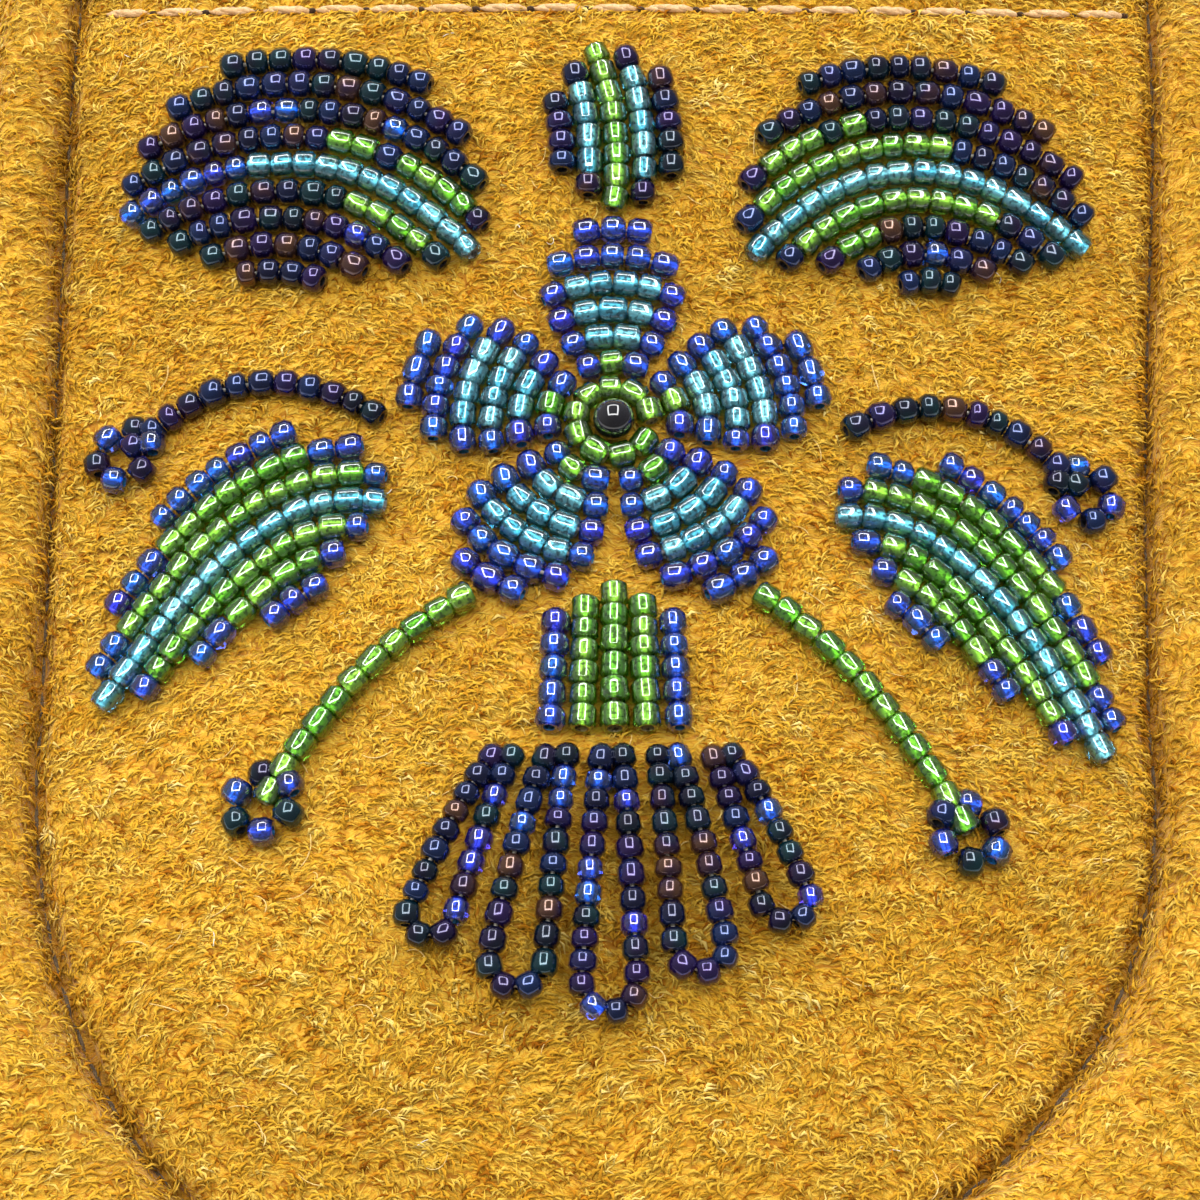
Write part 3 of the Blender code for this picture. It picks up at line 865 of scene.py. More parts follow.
def suede_nap_material():
    """The fibres of the nap: each has its own tone, with painted light and shade in it, and painted shade
    darkens them beside the seam.
    """
    material, tree, shader = new_material("Suede nap", 0.0, 1.0, Specular_IOR_Level=0.0)
    # partly the hide's own uneven colour, partly painted light and shade of brushed and clumped nap
    patches = tree.group(mottle, Patch=60.0, Clump=480.0, Amount=0.6)["Value"]
    colour = tree.ramp(tree.attribute("tone"), NAP_TONES)
    # painted shade in the seam's valley darkens the fibres there
    colour = tree.mix(tree.product(tree.attribute("seam"), 0.85), colour, (*SUEDE_SEAM_SHADE, 1))
    colour = tinted(tree, colour, patches)
    tree.connect(shader["Base Color"], colour)
    own = tree.add("ShaderNodeNewGeometry").outputs["Normal"]
    skin = tree.attribute("skin", "Vector")
    even = tree.vectors("ADD", tree.scaled(own, 1 - NAP_MATTING), tree.scaled(skin, NAP_MATTING))
    tree.connect(shader["Normal"], tree.unit(even))
    return material


def plain_leather_material(name, dark, main, light, roughness, grain):
    """Leather without nap: uneven in colour and polish, with a net of pores."""
    material, tree, shader = new_material(name, 0.0, roughness, Specular_IOR_Level=0.35)
    patches = tree.group(mottle, Patch=70.0, Clump=500.0, Amount=0.5)["Value"]
    place = tree.object_place()
    pores = tree.add("ShaderNodeTexVoronoi", {"Vector": place, "Scale": grain}, feature="DISTANCE_TO_EDGE")
    edge = tree.ease(pores.outputs["Distance"], 0.0, 0.25)
    wear = tree.grain(place, 160.0, 4.0, 0.65, 0.4)
    colour = tree.ramp(wear, ((0.3, dark), (0.5, main), (0.72, light)))
    colour = tinted(tree, colour, patches)
    tree.connect(shader["Base Color"], colour)
    tree.connect(shader["Roughness"], tree.ease(wear, 0.3, 0.7, roughness - 0.12, roughness + 0.1))
    tree.connect(shader["Normal"], tree.bump(edge, 0.35, 0.12))
    return material


def thread_material(name, dark, light, roughness=0.75):
    """Fine strands, with painted shade between them and painted light on their tops."""
    material, tree, shader = new_material(name, 0.0, roughness, Sheen_Weight=0.2, Specular_IOR_Level=0.3)
    strands = tree.grain(tree.object_place(), 2600.0, 2.0, 0.6, 0.8)
    # dark: painted shade between the strands; light: painted light on their tops
    tree.connect(shader["Base Color"], tree.ramp(strands, ((0.3, dark), (0.7, light))))
    tree.connect(shader["Normal"], tree.bump(strands, 0.6, 0.06))
    return material


# ---------------------------------------------------------------- the suede upper


def upper_skin():
    """Outer face of the upper as one open sheet: its points, its faces and how many points are the wall's."""
    grid = wall_grid(fine_y)
    rows, around = grid.shape[:2]
    points = list(grid.reshape(-1, 3))
    faces = []
    for r in range(rows - 1):
        low, high = r * around, (r + 1) * around
        for c in range(around):
            n = (c + 1) % around
            faces.append((low + c, high + c, high + n, low + n))
    tip = (rows - 1) * around
    previous = []
    for k in range(1, THROAT_ROW + 1):
        inner, outer = tip + k, tip + around - k
        between = vamp_row(points[inner], points[outer])
        row = [inner, *range(len(points), len(points) + len(between)), outer]
        points += list(between)
        for c in range(VAMP_COLUMNS):
            behind = (previous[c], previous[c + 1]) if previous else (tip,)
            faces.append((*behind, row[c + 1], row[c]))
        previous = row
    return np.array(points), faces, rows * around


# Fibres to a square millimetre: on the vamp, on the wall beside the seam, and on the wall far from it
NAP_VAMP, NAP_BESIDE, NAP_FAR = 10.0, 6.0, 0.4
NAP_BESIDE_REACH = 15.0
NAP_BESIDE_END = 1.6  # the thicker nap beside the seam ends at this many reaches, and is full within one less
NAP_FADE_POWER = 1.5
COVER_REACH = 1.75  # a bead's middle this near the suede hides it
NAP_COVERED = 0.25  # share of the fibres left where beads hide them
SEAM_SHADE = 0.8  # painted shade in the seam's valley: the share of its colour in the seam itself
SEAM_SHADE_REACH, SEAM_SHADE_ON_VAMP = 0.9, 0.6
EDGE_ROUNDING = 0.45
# The two faces of a piece of suede, and the values that the fibres and the colour of its outer face follow;
# seam is the painted shade beside the seam
Skin = namedtuple("Skin", "inner points normals faces nap seam")


def covered(points):
    """True where a sewn bead hides the suede."""
    seats = np.array([seat.place for kind in beads.values() for seat in kind])
    blocks = np.array_split(points, len(points) // 2000 + 1)
    near = [((block[:, None] - seats[None]) ** 2).sum(2).min(1) for block in blocks]
    return np.concatenate(near) < COVER_REACH**2


def nap_density(points, beyond_seam):
    from_seam = distance_to(points, seam_line)
    fade = np.clip(NAP_BESIDE_END - from_seam / NAP_BESIDE_REACH, 0, 1) ** NAP_FADE_POWER
    wall_nap = NAP_FAR + (NAP_BESIDE - NAP_FAR) * fade
    vamp_nap = np.where(covered(points), NAP_COVERED * NAP_VAMP, NAP_VAMP)
    return np.where(beyond_seam > 0, wall_nap, vamp_nap)


def seam_shade(points, beyond_seam):
    """How deep the painted shade of the seam's valley is: it fades out beside the seam, and sooner on the
    vamp.
    """
    reach = SEAM_SHADE_REACH * np.where(beyond_seam > 0, 1.0, SEAM_SHADE_ON_VAMP)
    return SEAM_SHADE * np.exp(-distance_to(points, seam_line) / reach)


def upper_surface():
    """The upper's two faces: the outer one with its relief, and the plain inner one."""
    plain, faces, wall_count = upper_skin()
    beyond_seam = (np.arange(len(plain)) < wall_count).astype(float)
    flat_normals = normals_of(plain, faces)
    moved = plain + flat_normals * relief(plain, beyond_seam)[:, None]
    # seam is the painted shade beside the seam
    nap, seam = nap_density(plain, beyond_seam), seam_shade(plain, beyond_seam)
    return Skin(plain - flat_normals * WALL, moved, normals_of(moved, faces), faces, nap, seam)


def skin_object(name, skin):
    """The outer face alone, to grow fibres on."""
    mesh = build_mesh(name, skin.points, skin.faces)
    store(mesh, "nap", skin.nap)
    # painted shade beside the seam, for the fibres' colour
    store(mesh, "seam", skin.seam)
    mesh.shade_smooth()
    return add_object(name, mesh)


def build_wall(name, skin, materials, node):
    """One wall of suede, with its flesh side and its cut edges."""
    made = rounded_shell(name, skin, materials, EDGE_ROUNDING)
    # painted shade beside the seam, for the hide's colour
    store(made.data, "seam", np.tile(skin.seam, 2))
    frozen(made)
    smooth(made.data, 60)
    return finish_piece(made, "suede", node)


# ---------------------------------------------------------------- nap of the suede

# Of a fibre's length: half its width, the rise of its middle, the sink of its ends and its sideways bend
STRAND_RADIUS, STRAND_ARCH, STRAND_FOOT, STRAND_KINK = 0.07, 0.07, 0.03, 0.22


def strand_object():
    """One fibre of nap, a unit long: a closed sliver of six faces, bent and arched between its two ends."""
    left, right = STRAND_KINK + STRAND_RADIUS, STRAND_KINK - STRAND_RADIUS
    tips = (0, 0, -STRAND_FOOT), (1, 0, -STRAND_FOOT)
    middle = (0.5, left, STRAND_ARCH), (0.5, right, STRAND_ARCH), (0.5, STRAND_KINK, -STRAND_FOOT)
    faces = ((0, 3, 2), (1, 2, 3), (0, 2, 4), (1, 4, 2), (0, 4, 3), (1, 3, 4))
    mesh = build_mesh("strand", (*tips, *middle), faces)
    mesh.shade_smooth()
    return add_object("strand", mesh)


FLOW_WAY = (0.7, 0.0, 0.0)  # the nap lies mostly across the shoe
SWIRL_SCALE, SWIRL = 90.0, 2.6
CURL_SCALE, CURL, CURL_WARP = 900.0, 3.0, 0.6
STRAY = 0.75
TUFT_SCALE, TUFT_WARP = 780.0, 0.4
TUFT_STEP = 0.6  # a tuft's slope is measured over this distance along its fibres
TUFT_RISE, TUFT_LEVEL = 0.6, 0.42  # how far a tuft lifts its fibres, and its value that lifts none
TUFT_SLOPE, TUFT_TILT = 1.1, 2.4  # how a slope leans the fibres, and turns the face they show the light
LEAN, ROLL = (-0.04, 0.12), (-0.35, 0.35)
FIBRE_LENGTH, FIBRE_THICKNESS, THICKNESS_POWER = (0.55, 1.35), (0.75, 1.35), 2.0
SHADED_FIBRE_SHARE = 0.09  # of the fibres: short dark ones in painted shade, for the small shaded hollows of a nap
SHADED_FIBRE_SHORTER = 0.5
# the tufts' share of a fibre's tone is painted light on their tops and painted shade in the low places
# between them
PATCH_SCALE, PATCH_TONE, TUFT_LIGHT_AND_SHADE, FIBRE_TONE = 330.0, 0.9, 1.7, (0.30, 0.58)


def nap_flow(tree, place, normal):
    """Which way the fibres lie: across the shoe, in slow swirls and quick curls, level with the skin."""
    swirl = tree.scaled(tree.vector_noise(place, SWIRL_SCALE), SWIRL)
    curl = tree.scaled(tree.vector_noise(place, CURL_SCALE, CURL_WARP), CURL)
    stray = tree.scaled(tree.random((-1, -1, -1), (1, 1, 1), 11, "FLOAT_VECTOR"), STRAY)
    flow = tree.vectors("ADD", tree.vectors("ADD", tree.vectors("ADD", swirl, curl), stray), FLOW_WAY)
    rise = tree.scaled(normal, tree.dot(flow, normal))
    return tree.unit(tree.vectors("SUBTRACT", flow, rise))


def fibre_size(tree, length, thickness, dark):
    """A size for each fibre about the given ones; the dark fibres in painted shade are shorter."""
    length = tree.product(tree.random(*FIBRE_LENGTH, 14), length)
    length = tree.product(length, tree.maths("SUBTRACT", 1.0, tree.product(dark, SHADED_FIBRE_SHORTER)))
    spread = tree.maths("POWER", tree.random(*FIBRE_THICKNESS, 15), THICKNESS_POWER)
    thickness = tree.product(spread, thickness)
    return tree.add("ShaderNodeCombineXYZ", {0: length, 1: thickness, 2: thickness}).outputs[0]


def fibre_tone(tree, place, tuft, dark):
    """Light and dark patches, tufts lighter on their tops with painted light and darker between them with
    painted shade, and each fibre's own tone, from 0 to 1.
    """
    patch = tree.grain(place, PATCH_SCALE, 2.0, 0.6)
    tone = tree.product(tree.maths("SUBTRACT", patch, 0.5), PATCH_TONE)
    # painted light on the tufts' tops, painted shade in the low places between them
    tone = tree.total(tone, tree.product(tree.maths("SUBTRACT", tuft, 0.5), TUFT_LIGHT_AND_SHADE))
    tone = tree.maths("ADD", tone, tree.random(*FIBRE_TONE, 16), clamp=True)
    # the fibres in painted shade take the darkest tone
    return tree.product(tone, tree.maths("SUBTRACT", 1.0, dark))


def nap_tree():
    """Fibres laid over a skin along a swirling flow in tufts, each with its own length, lean and tone, the
    tone with the tufts' painted light and shade in it.
    """
    inputs = {
        "Geometry": ("Geometry", None),
        "Strand": ("Object", None),
        "Material": ("Material", None),
        "Density": ("Float", 1.0),
        "Length": ("Float", 1.5),
        "Thickness": ("Float", 1.0),
        "Seed": ("Int", 1),
    }
    tree, given, out = new_group("Nap on a skin", "GeometryNodeTree", inputs, {"Geometry": "Geometry"})
    density = tree.product(tree.product(tree.stored("nap", "FLOAT"), given["Density"]), 1 / MM**2)
    spread = tree.add(
        "GeometryNodeDistributePointsOnFaces",
        {"Mesh": given["Geometry"], "Density": density, "Seed": given["Seed"]},
        distribute_method="RANDOM",
    )
    normal = spread.outputs["Normal"]
    place = tree.add("GeometryNodeInputPosition").outputs[0]
    flow = nap_flow(tree, place, normal)
    ahead = tree.vectors("ADD", place, tree.scaled(flow, TUFT_STEP * MM))
    tuft, tuft_ahead = (tree.grain(at, TUFT_SCALE, 1.0, 0.5, TUFT_WARP) for at in (place, ahead))
    slope = tree.product(tree.maths("SUBTRACT", tuft_ahead, tuft), TUFT_SLOPE)
    lean = tree.total(slope, tree.random(*LEAN, 12))
    along = tree.vectors("ADD", flow, tree.scaled(normal, lean))
    roll = tree.scaled(tree.vectors("CROSS_PRODUCT", normal, flow), tree.random(*ROLL, 13))
    rotation = tree.turned(along, tree.vectors("ADD", normal, roll))
    lift = tree.product(tree.maths("SUBTRACT", tuft, TUFT_LEVEL), TUFT_RISE * MM)
    lifted = tree.add(
        "GeometryNodeSetPosition",
        {"Geometry": spread.outputs["Points"], "Offset": tree.scaled(normal, lift)},
    ).outputs[0]
    # fibres in painted shade, for the small hollows of the nap
    dark = tree.maths("LESS_THAN", tree.random(0.0, 1.0, 17), SHADED_FIBRE_SHARE)
    size = fibre_size(tree, given["Length"], given["Thickness"], dark)
    laid = tree.copies(lifted, given["Strand"], rotation, size)
    toned = tree.store(laid, "tone", fibre_tone(tree, place, tuft, dark), "FLOAT")
    tilt = tree.vectors("SUBTRACT", normal, tree.scaled(flow, tree.product(slope, TUFT_TILT)))
    faced = tree.store(toned, "skin", tilt, "FLOAT_VECTOR")
    real = tree.add("GeometryNodeRealizeInstances", {"Geometry": faced}).outputs[0]
    done = tree.add("GeometryNodeSetMaterial", {"Geometry": real, "Material": given["Material"]})
    tree.connect(out["Geometry"], done.outputs[0])
    return tree.node_tree


def grown(name, source_mesh, group, settings):
    """A plain mesh object made by a geometry tree from a mesh, with the tree's inputs set by name."""
    made = add_object(name, source_mesh.copy())
    modifier = made.modifiers.new(group.name, "NODES")
    modifier.node_group = group
    sockets = {s.name: s.identifier for s in group.interface.items_tree if s.in_out == "INPUT"}
    for label, value in settings.items():
        modifier[sockets[label]] = value
    return frozen(made)


def part_of_skin(skin, keep):
    """A copy of a skin with only the faces whose middle passes the test, in millimetres."""
    work = bmesh.new()
    work.from_mesh(skin.data)
    lost = [f for f in work.faces if not keep(f.calc_center_median() / MM)]
    bmesh.ops.delete(work, geom=lost, context="FACES")
    mesh = bpy.data.meshes.new("region")
    work.to_mesh(mesh)
    work.free()
    return mesh


# ---------------------------------------------------------------- beadwork

BEAD_LENGTH = 1.8
ROW_PITCH = 2.1
BEAD_GAP = 0.09
BEAD_SEAT = 0.93  # height of a sewn bead's middle above the suede
BEAD_LENGTHS, BEAD_WIDTHS = (0.84, 1.14), (0.95, 1.05)  # the spread of sizes, of a usual bead's
SHORTEST_BEAD = 0.85
BEAD_TILT, BEAD_LIFTS = 0.05, (-0.06, 0.08)
ROUND_BEAD, ROUND_BEAD_SEAT = 3.1, 0.45
BEAD_SIDES = 10
# Half of a bead's outline from its middle to its hole: (place along the hole, radius)
ROUND_PROFILE = ((0.42, 1.06), (0.86, 0.76), (0.80, 0.40))
STRAIGHT_PROFILE = ((0.60, 1.05), (0.91, 0.78), (0.84, 0.50))
KINDS = ("iris", "teal", "green", "cobalt")

Seat = namedtuple("Seat", "place along up length width tone")
beads = {kind: [] for kind in (*KINDS, "round")}
thread_paths = []
chance = random.Random(41)


def on_vamp(x, y, height=0.0):
    """Places on the vamp's relief, and the surface's normals there."""
    x, y = np.asarray(x, float), np.asarray(y, float)
    step = 0.25
    slope_x = (vamp_height(x + step, y) - vamp_height(x - step, y)) / (2 * step)
    slope_y = (vamp_height(x, y + step) - vamp_height(x, y - step)) / (2 * step)
    normal = unit(np.stack([-slope_x, -slope_y, np.ones_like(x)], axis=1))
    flat = np.stack([x, y, vamp_height(x, y)], axis=1)
    out = relief(flat, np.zeros(len(x)))
    return flat + normal * (out + height)[:, None], normal


def string_beads(places, normals, kind_at, size=1.0):
    """Strings beads of uneven lengths along a path in space, end to end, to fill it.

    kind_at(share of the way) names each bead's kind.
    """
    run = run_along(places)
    count = max(round(run[-1] / (size * BEAD_LENGTH + BEAD_GAP)), 1)
    lengths = np.array([chance.uniform(*BEAD_LENGTHS) for _ in range(count)])
    lengths *= max(run[-1] / count - BEAD_GAP, SHORTEST_BEAD * size * BEAD_LENGTH) / lengths.mean()
    ends = np.cumsum(lengths + BEAD_GAP)
    path = []
    for end, length in zip(ends, lengths):
        s = min(end - length / 2, run[-1])
        along = value_at(run, places, s + 0.4) - value_at(run, places, s - 0.4)
        tilt = np.array([chance.gauss(0, BEAD_TILT) for _ in range(3)])
        along = along / np.linalg.norm(along) + tilt
        up = value_at(run, normals, s)
        place = value_at(run, places, s) + up * chance.uniform(*BEAD_LIFTS)
        width = size * chance.uniform(*BEAD_WIDTHS)
        seat = Seat(place, along, up, length / BEAD_LENGTH, width, chance.random())
        beads[kind_at(s / run[-1])].append(seat)
        path.append(place)
    if count > 1:
        thread_paths.append(np.array(path))


def sew_row(x, y, kind_at):
    """A row of beads sewn down along a line drawn on the vamp."""
    places, normals = on_vamp(x, y, BEAD_SEAT)
    string_beads(places, normals, kind_at)


def always(kind):
    return lambda share: kind


def mixed(*weighted):
    """Beads drawn at random from (kind, weight) pairs."""
    kinds, weights = zip(*weighted)
    return lambda share: chance.choices(kinds, weights)[0]


def fading(first, second, start, end):
    """The first kind, giving way to the second over a stretch of the row."""

    def kind_at(share):
        odds = min(max((share - start) / (end - start), 0), 1)
        return second if chance.random() < odds else first

    return kind_at


# A leaf runs from its base through a bend to its tip. Rows of beads lie side by side along it, the first kind
# in the middle, and the beads at its edge are all of one kind.
Leaf = namedtuple("Leaf", "name base bend tip half_width widest edge rows")
ROW_OVERHANG = 0.3  # how far past the outline a row may lie, as a share of the rows' pitch
EDGE_ROOM = 0.55  # beads nearer the outline than this share of the pitch are edge beads
LEAF_FULLNESS = 0.7  # below 1, a leaf keeps its width longer towards its two ends


def leaf_centre(leaf, u):
    """Places along a leaf's middle line, and the way to its side there."""
    u = u[:, None]
    base, bend, tip = (np.array(point, float) for point in (leaf.base, leaf.bend, leaf.tip))
    tangent = unit(2 * (bend - base) * (1 - u) + 2 * (tip - bend) * u)
    side = np.stack([-tangent[:, 1], tangent[:, 0]], axis=1)
    return bent_line(base, bend, tip, u), side


def leaf_half_width(leaf, u):
    """Rises quickly from the base, is fullest at its widest place and runs out to a point at the tip."""
    power = math.log(0.5) / math.log(leaf.widest)
    return leaf.half_width * np.sin(math.pi * u**power) ** LEAF_FULLNESS


def edged(shares, room, edge, inner):
    """The edge kind where there is little room to the outline, and the inner kind elsewhere."""

    def kind_at(share):
        nearby = np.interp(share, shares, room) < EDGE_ROOM * ROW_PITCH
        return (edge if nearby else inner)(share)

    return kind_at


def bead_leaf(leaf):
    u = np.linspace(0, 1, 200)
    middle, side = leaf_centre(leaf, u)
    width = leaf_half_width(leaf, u)
    reach = int(leaf.half_width / ROW_PITCH + ROW_OVERHANG)
    for number in range(-reach, reach + 1):
        offset = number * ROW_PITCH
        room = width - abs(offset)
        inside = room > -ROW_OVERHANG * ROW_PITCH
        x, y = (middle + side * offset)[inside].T
        inner = leaf.rows[min(abs(number), len(leaf.rows) - 1)]
        sew_row(x, y, edged(np.linspace(0, 1, len(x)), room[inside], leaf.edge, inner))


night = mixed(("iris", 0.9), ("cobalt", 0.1))
green, teal, cobalt, iris = (always(kind) for kind in ("green", "teal", "cobalt", "iris"))
INNER_ROWS = fading("teal", "cobalt", 0.4, 0.7), fading("green", "iris", 0.2, 0.5), night
OUTER_ROWS = teal, fading("green", "iris", 0.5, 0.8), fading("green", "iris", 0.1, 0.4), night
LEAVES = (
    Leaf("upper inner leaf", (-9.5, -32), (-21, -19), (-37, -26.5), 9.3, 0.52, iris, INNER_ROWS),
    Leaf("upper outer leaf", (11.5, -32), (23, -18.5), (37.5, -29), 9.1, 0.52, iris, OUTER_ROWS),
    Leaf("lower inner leaf", (-15.5, -51.5), (-25, -48), (-35.5, -65), 6.4, 0.46, cobalt, (teal, green)),
    Leaf("lower outer leaf", (17, -52.5), (27, -50), (35.5, -69), 6.3, 0.46, cobalt, (teal, green)),
    Leaf("bud", (1, -28.6), (2, -22), (-0.5, -15.5), 5.0, 0.5, iris, (green, teal)),
)

# Each petal is a set of arcs about the flower's middle, a row apart, with each one's half width and kind
FLOWER = (1.0, -45.5)
PETALS, PETAL_START = 5, 4.85
PETAL_HALF_WIDTHS = (2.75, 4.0, 5.0, 5.6, 5.1, 3.1)
PETAL_KINDS = (green, teal, teal, teal, cobalt, cobalt)
CENTRE_RING, CENTRE_RING_TURN = 2.75, 0.95


def arc(radius, start, end):
    angle = np.linspace(start, end, 50)
    return FLOWER[0] + radius * np.cos(angle), FLOWER[1] + radius * np.sin(angle)


def bead_flower():
    for petal in range(PETALS):
        middle = math.radians(90 + 360 * petal / PETALS)
        for number, (half, kind) in enumerate(zip(PETAL_HALF_WIDTHS, PETAL_KINDS)):
            radius = PETAL_START + number * ROW_PITCH
            shares = np.linspace(0, 1, 50)
            room = half * (1 - np.abs(2 * shares - 1))
            x, y = arc(radius, middle - half / radius, middle + half / radius)
            sew_row(x, y, edged(shares, room, cobalt, kind))
    sew_row(*arc(CENTRE_RING, 0, 2 * math.pi * CENTRE_RING_TURN), green)
    seat_round_bead(*FLOWER, ROUND_BEAD)


# Curved stems of one row, each from a start through a bend to an end, each to a round berry
Stem = namedtuple("Stem", "name start bend end kind")
STEMS = (
    Stem("inner tendril", (-16, -44.5), (-27, -37), (-35.5, -45), iris),
    Stem("outer tendril", (18, -45.5), (28, -39), (36, -48), iris),
    Stem("inner spray", (-9, -59), (-17, -63), (-23, -74), green),
    Stem("outer spray", (11, -59), (19, -64), (25, -76), green),
)
BERRY_KINDS, BERRY_RADIUS = (cobalt, iris) * 3, 2.1


def sew_stem(stem):
    """A curved row, with a ring of beads round its last one."""
    line = bent_line(stem.start, stem.bend, stem.end, np.linspace(0, 1, 80)[:, None])
    sew_row(*line.T, stem.kind)
    bend, end = np.array(stem.bend, float), np.array(stem.end, float)
    ahead = math.atan2(*(end - bend)[::-1])
    for number, kind in enumerate(BERRY_KINDS):
        angle = ahead + 2 * math.pi * (number + 0.5) / len(BERRY_KINDS)
        middle = end + BERRY_RADIUS * np.array([math.cos(angle), math.sin(angle)])
        step = 0.5 * BEAD_LENGTH * np.array([-math.sin(angle), math.cos(angle)])
        sew_row(*np.linspace(middle - step, middle + step, 6).T, kind)


# The stalk widens downwards, and strings of beads hang from its foot in open loops
STALK_TOP, STALK_FOOT = -58.6, -70.0
STALK_ROWS, STALK_PITCH = 5, 2.15
STALK_NARROW, STALK_WIDER = 0.93, 0.1  # its width at the top, and what it gains downwards, of the rows' pitch
STALK_SLANT = 1.1  # each row starts this much lower than the one inside it
Loop = namedtuple("Loop", "left right bottom")
LOOPS = (
    Loop(-12.6, -9.4, -84.5),
    Loop(-7.2, -3.6, -88.0),
    Loop(-1.2, 2.4, -89.5),
    Loop(4.8, 8.2, -87.0),
    Loop(10.4, 13.8, -83.5),
)
LOOP_PITCH, LOOP_DROP = 2.3, 1.3  # where the loops leave the stalk's foot
LOOP_LEG, LOOP_BEND = 0.44, 0.12  # shares of a loop: each straight leg, and the bend between them
LOOP_GATHER, LOOP_OPENING = 0.35, 0.8  # how far in the legs start, and how soon they spread
LOOP_LIFT, LOOP_WAVE = 1.1, 0.4
FRINGE_SIZE = 0.88  # of the other beads
fringe_kinds = mixed(("iris", 0.84), ("cobalt", 0.16))


def bead_stalk():
    for number in range(STALK_ROWS):
        aside = number - (STALK_ROWS - 1) / 2
        y = np.linspace(STALK_TOP - STALK_SLANT * abs(aside), STALK_FOOT, 60)
        down = (STALK_TOP - y) / (STALK_TOP - STALK_FOOT)
        x = FLOWER[0] + aside * STALK_PITCH * (STALK_NARROW + STALK_WIDER * down)
        sew_row(x, y, cobalt if number in (0, STALK_ROWS - 1) else green)


def hang_loop(loop, from_x):
    """A string of beads from the stalk's foot down, round and up again, standing off the suede."""
    turn = np.linspace(0, 1, 160)
    reach = np.minimum(np.clip(turn / LOOP_LEG, 0, 1), np.clip((1 - turn) / LOOP_LEG, 0, 1))
    bend = math.pi * np.clip((turn - LOOP_LEG) / LOOP_BEND, 0, 1)
    radius = (loop.right - loop.left) / 2
    top = STALK_FOOT - LOOP_DROP
    middle = (loop.left + loop.right) / 2 - radius * np.cos(bend)
    x = from_x + (middle - from_x) * (LOOP_GATHER + (1 - LOOP_GATHER) * reach**LOOP_OPENING)
    y = top + (loop.bottom + radius - top) * reach - radius * np.sin(bend)
    places, normals = on_vamp(x, y, BEAD_SEAT)
    wave = 1 - LOOP_WAVE + LOOP_WAVE * np.cos(3 * turn + loop.left)
    lift = LOOP_LIFT * np.sin(math.pi * reach * 0.5) * wave
    string_beads(places + normals * lift[:, None], normals, fringe_kinds, FRINGE_SIZE)


def bead_fringe():
    for number, loop in enumerate(LOOPS):
        hang_loop(loop, FLOWER[0] + (number - len(LOOPS) // 2) * LOOP_PITCH)


def seat_round_bead(x, y, size):
    places, normals = on_vamp([x], [y], ROUND_BEAD_SEAT * size)
    along = np.cross(normals[0], [0.0, 1.0, 0.0])
    beads["round"].append(Seat(places[0], along, normals[0], size, size, chance.random()))


def bead_vamp():
    for leaf in LEAVES:
        bead_leaf(leaf)
    bead_flower()
    for stem in STEMS:
        sew_stem(stem)
    bead_stalk()
    bead_fringe()


def bead_object(name, profile):
    """One bead, a glass ring with rounded shoulders, with its hole marked."""
    points, faces = [], []
    profile = [(-x, r) for x, r in profile[::-1]] + list(profile)
    for x, r in profile:
        for s in range(BEAD_SIDES):
            angle = 2 * math.pi * s / BEAD_SIDES
            points.append((x, r * math.cos(angle), r * math.sin(angle)))
    bands = len(profile)
    for b in range(bands):
        low, high = b * BEAD_SIDES, (b + 1) % bands * BEAD_SIDES
        for s in range(BEAD_SIDES):
            n = (s + 1) % BEAD_SIDES
            faces.append((low + s, low + n, high + n, high + s))
    mesh = build_mesh(name, points, faces)
    smooth(mesh, 75)
    hole = np.arange(len(faces)) >= (bands - 1) * BEAD_SIDES
    mesh.attributes.new("hole", "BOOLEAN", "FACE").data.foreach_set("value", hole)
    return add_object(name, mesh)


def seats_mesh(seats):
    """Points to set copies on, with each one's direction, size and tone."""
    mesh = bpy.data.meshes.new("seats")
    mesh.from_pydata([tuple(s.place * MM) for s in seats], [], [])
    store(mesh, "along", [s.along for s in seats], "FLOAT_VECTOR")
    store(mesh, "up", [s.up for s in seats], "FLOAT_VECTOR")
    store(mesh, "size", [(s.length, s.width, s.width) for s in seats], "FLOAT_VECTOR")
    store(mesh, "tone", [s.tone for s in seats])
    return mesh


def copies_tree():
    """Sets a copy of one shape on each point, turned and sized by the point's own attributes."""
    inputs = {
        "Geometry": ("Geometry", None),
        "Shape": ("Object", None),
        "Scale": ("Float", 1.0),
        "Material": ("Material", None),
        "Hole material": ("Material", None),
    }
    tree, given, out = new_group("Copies on seats", "GeometryNodeTree", inputs, {"Geometry": "Geometry"})
    along, up, size = (tree.stored(name, "FLOAT_VECTOR") for name in ("along", "up", "size"))
    size = tree.scaled(size, given["Scale"])
    laid = tree.copies(given["Geometry"], given["Shape"], tree.turned(along, up), size)
    real = tree.add("GeometryNodeRealizeInstances", {"Geometry": laid}).outputs[0]
    hole = tree.stored("hole", "BOOLEAN")
    for material, faces in (("Material", True), ("Hole material", hole)):
        inputs = {"Geometry": real, "Material": given[material], "Selection": faces}
        real = tree.add("GeometryNodeSetMaterial", inputs).outputs[0]
    tree.connect(out["Geometry"], real)
    return tree.node_tree


seat_copies = copies_tree()


def copied(name, seats, shape, material, slot, hole_material=None):
    """A piece of copies of a shape, one on each seat. The shape is used up."""
    shape.data.materials.append(material)  # without one, the copies would bring an empty slot
    settings = {"Shape": shape, "Material": material, "Hole material": hole_material or material}
    made = grown(name, seats_mesh(seats), seat_copies, settings)
    bpy.data.objects.remove(shape)
    return finish_piece(made, slot)


# ---------------------------------------------------------------- glass


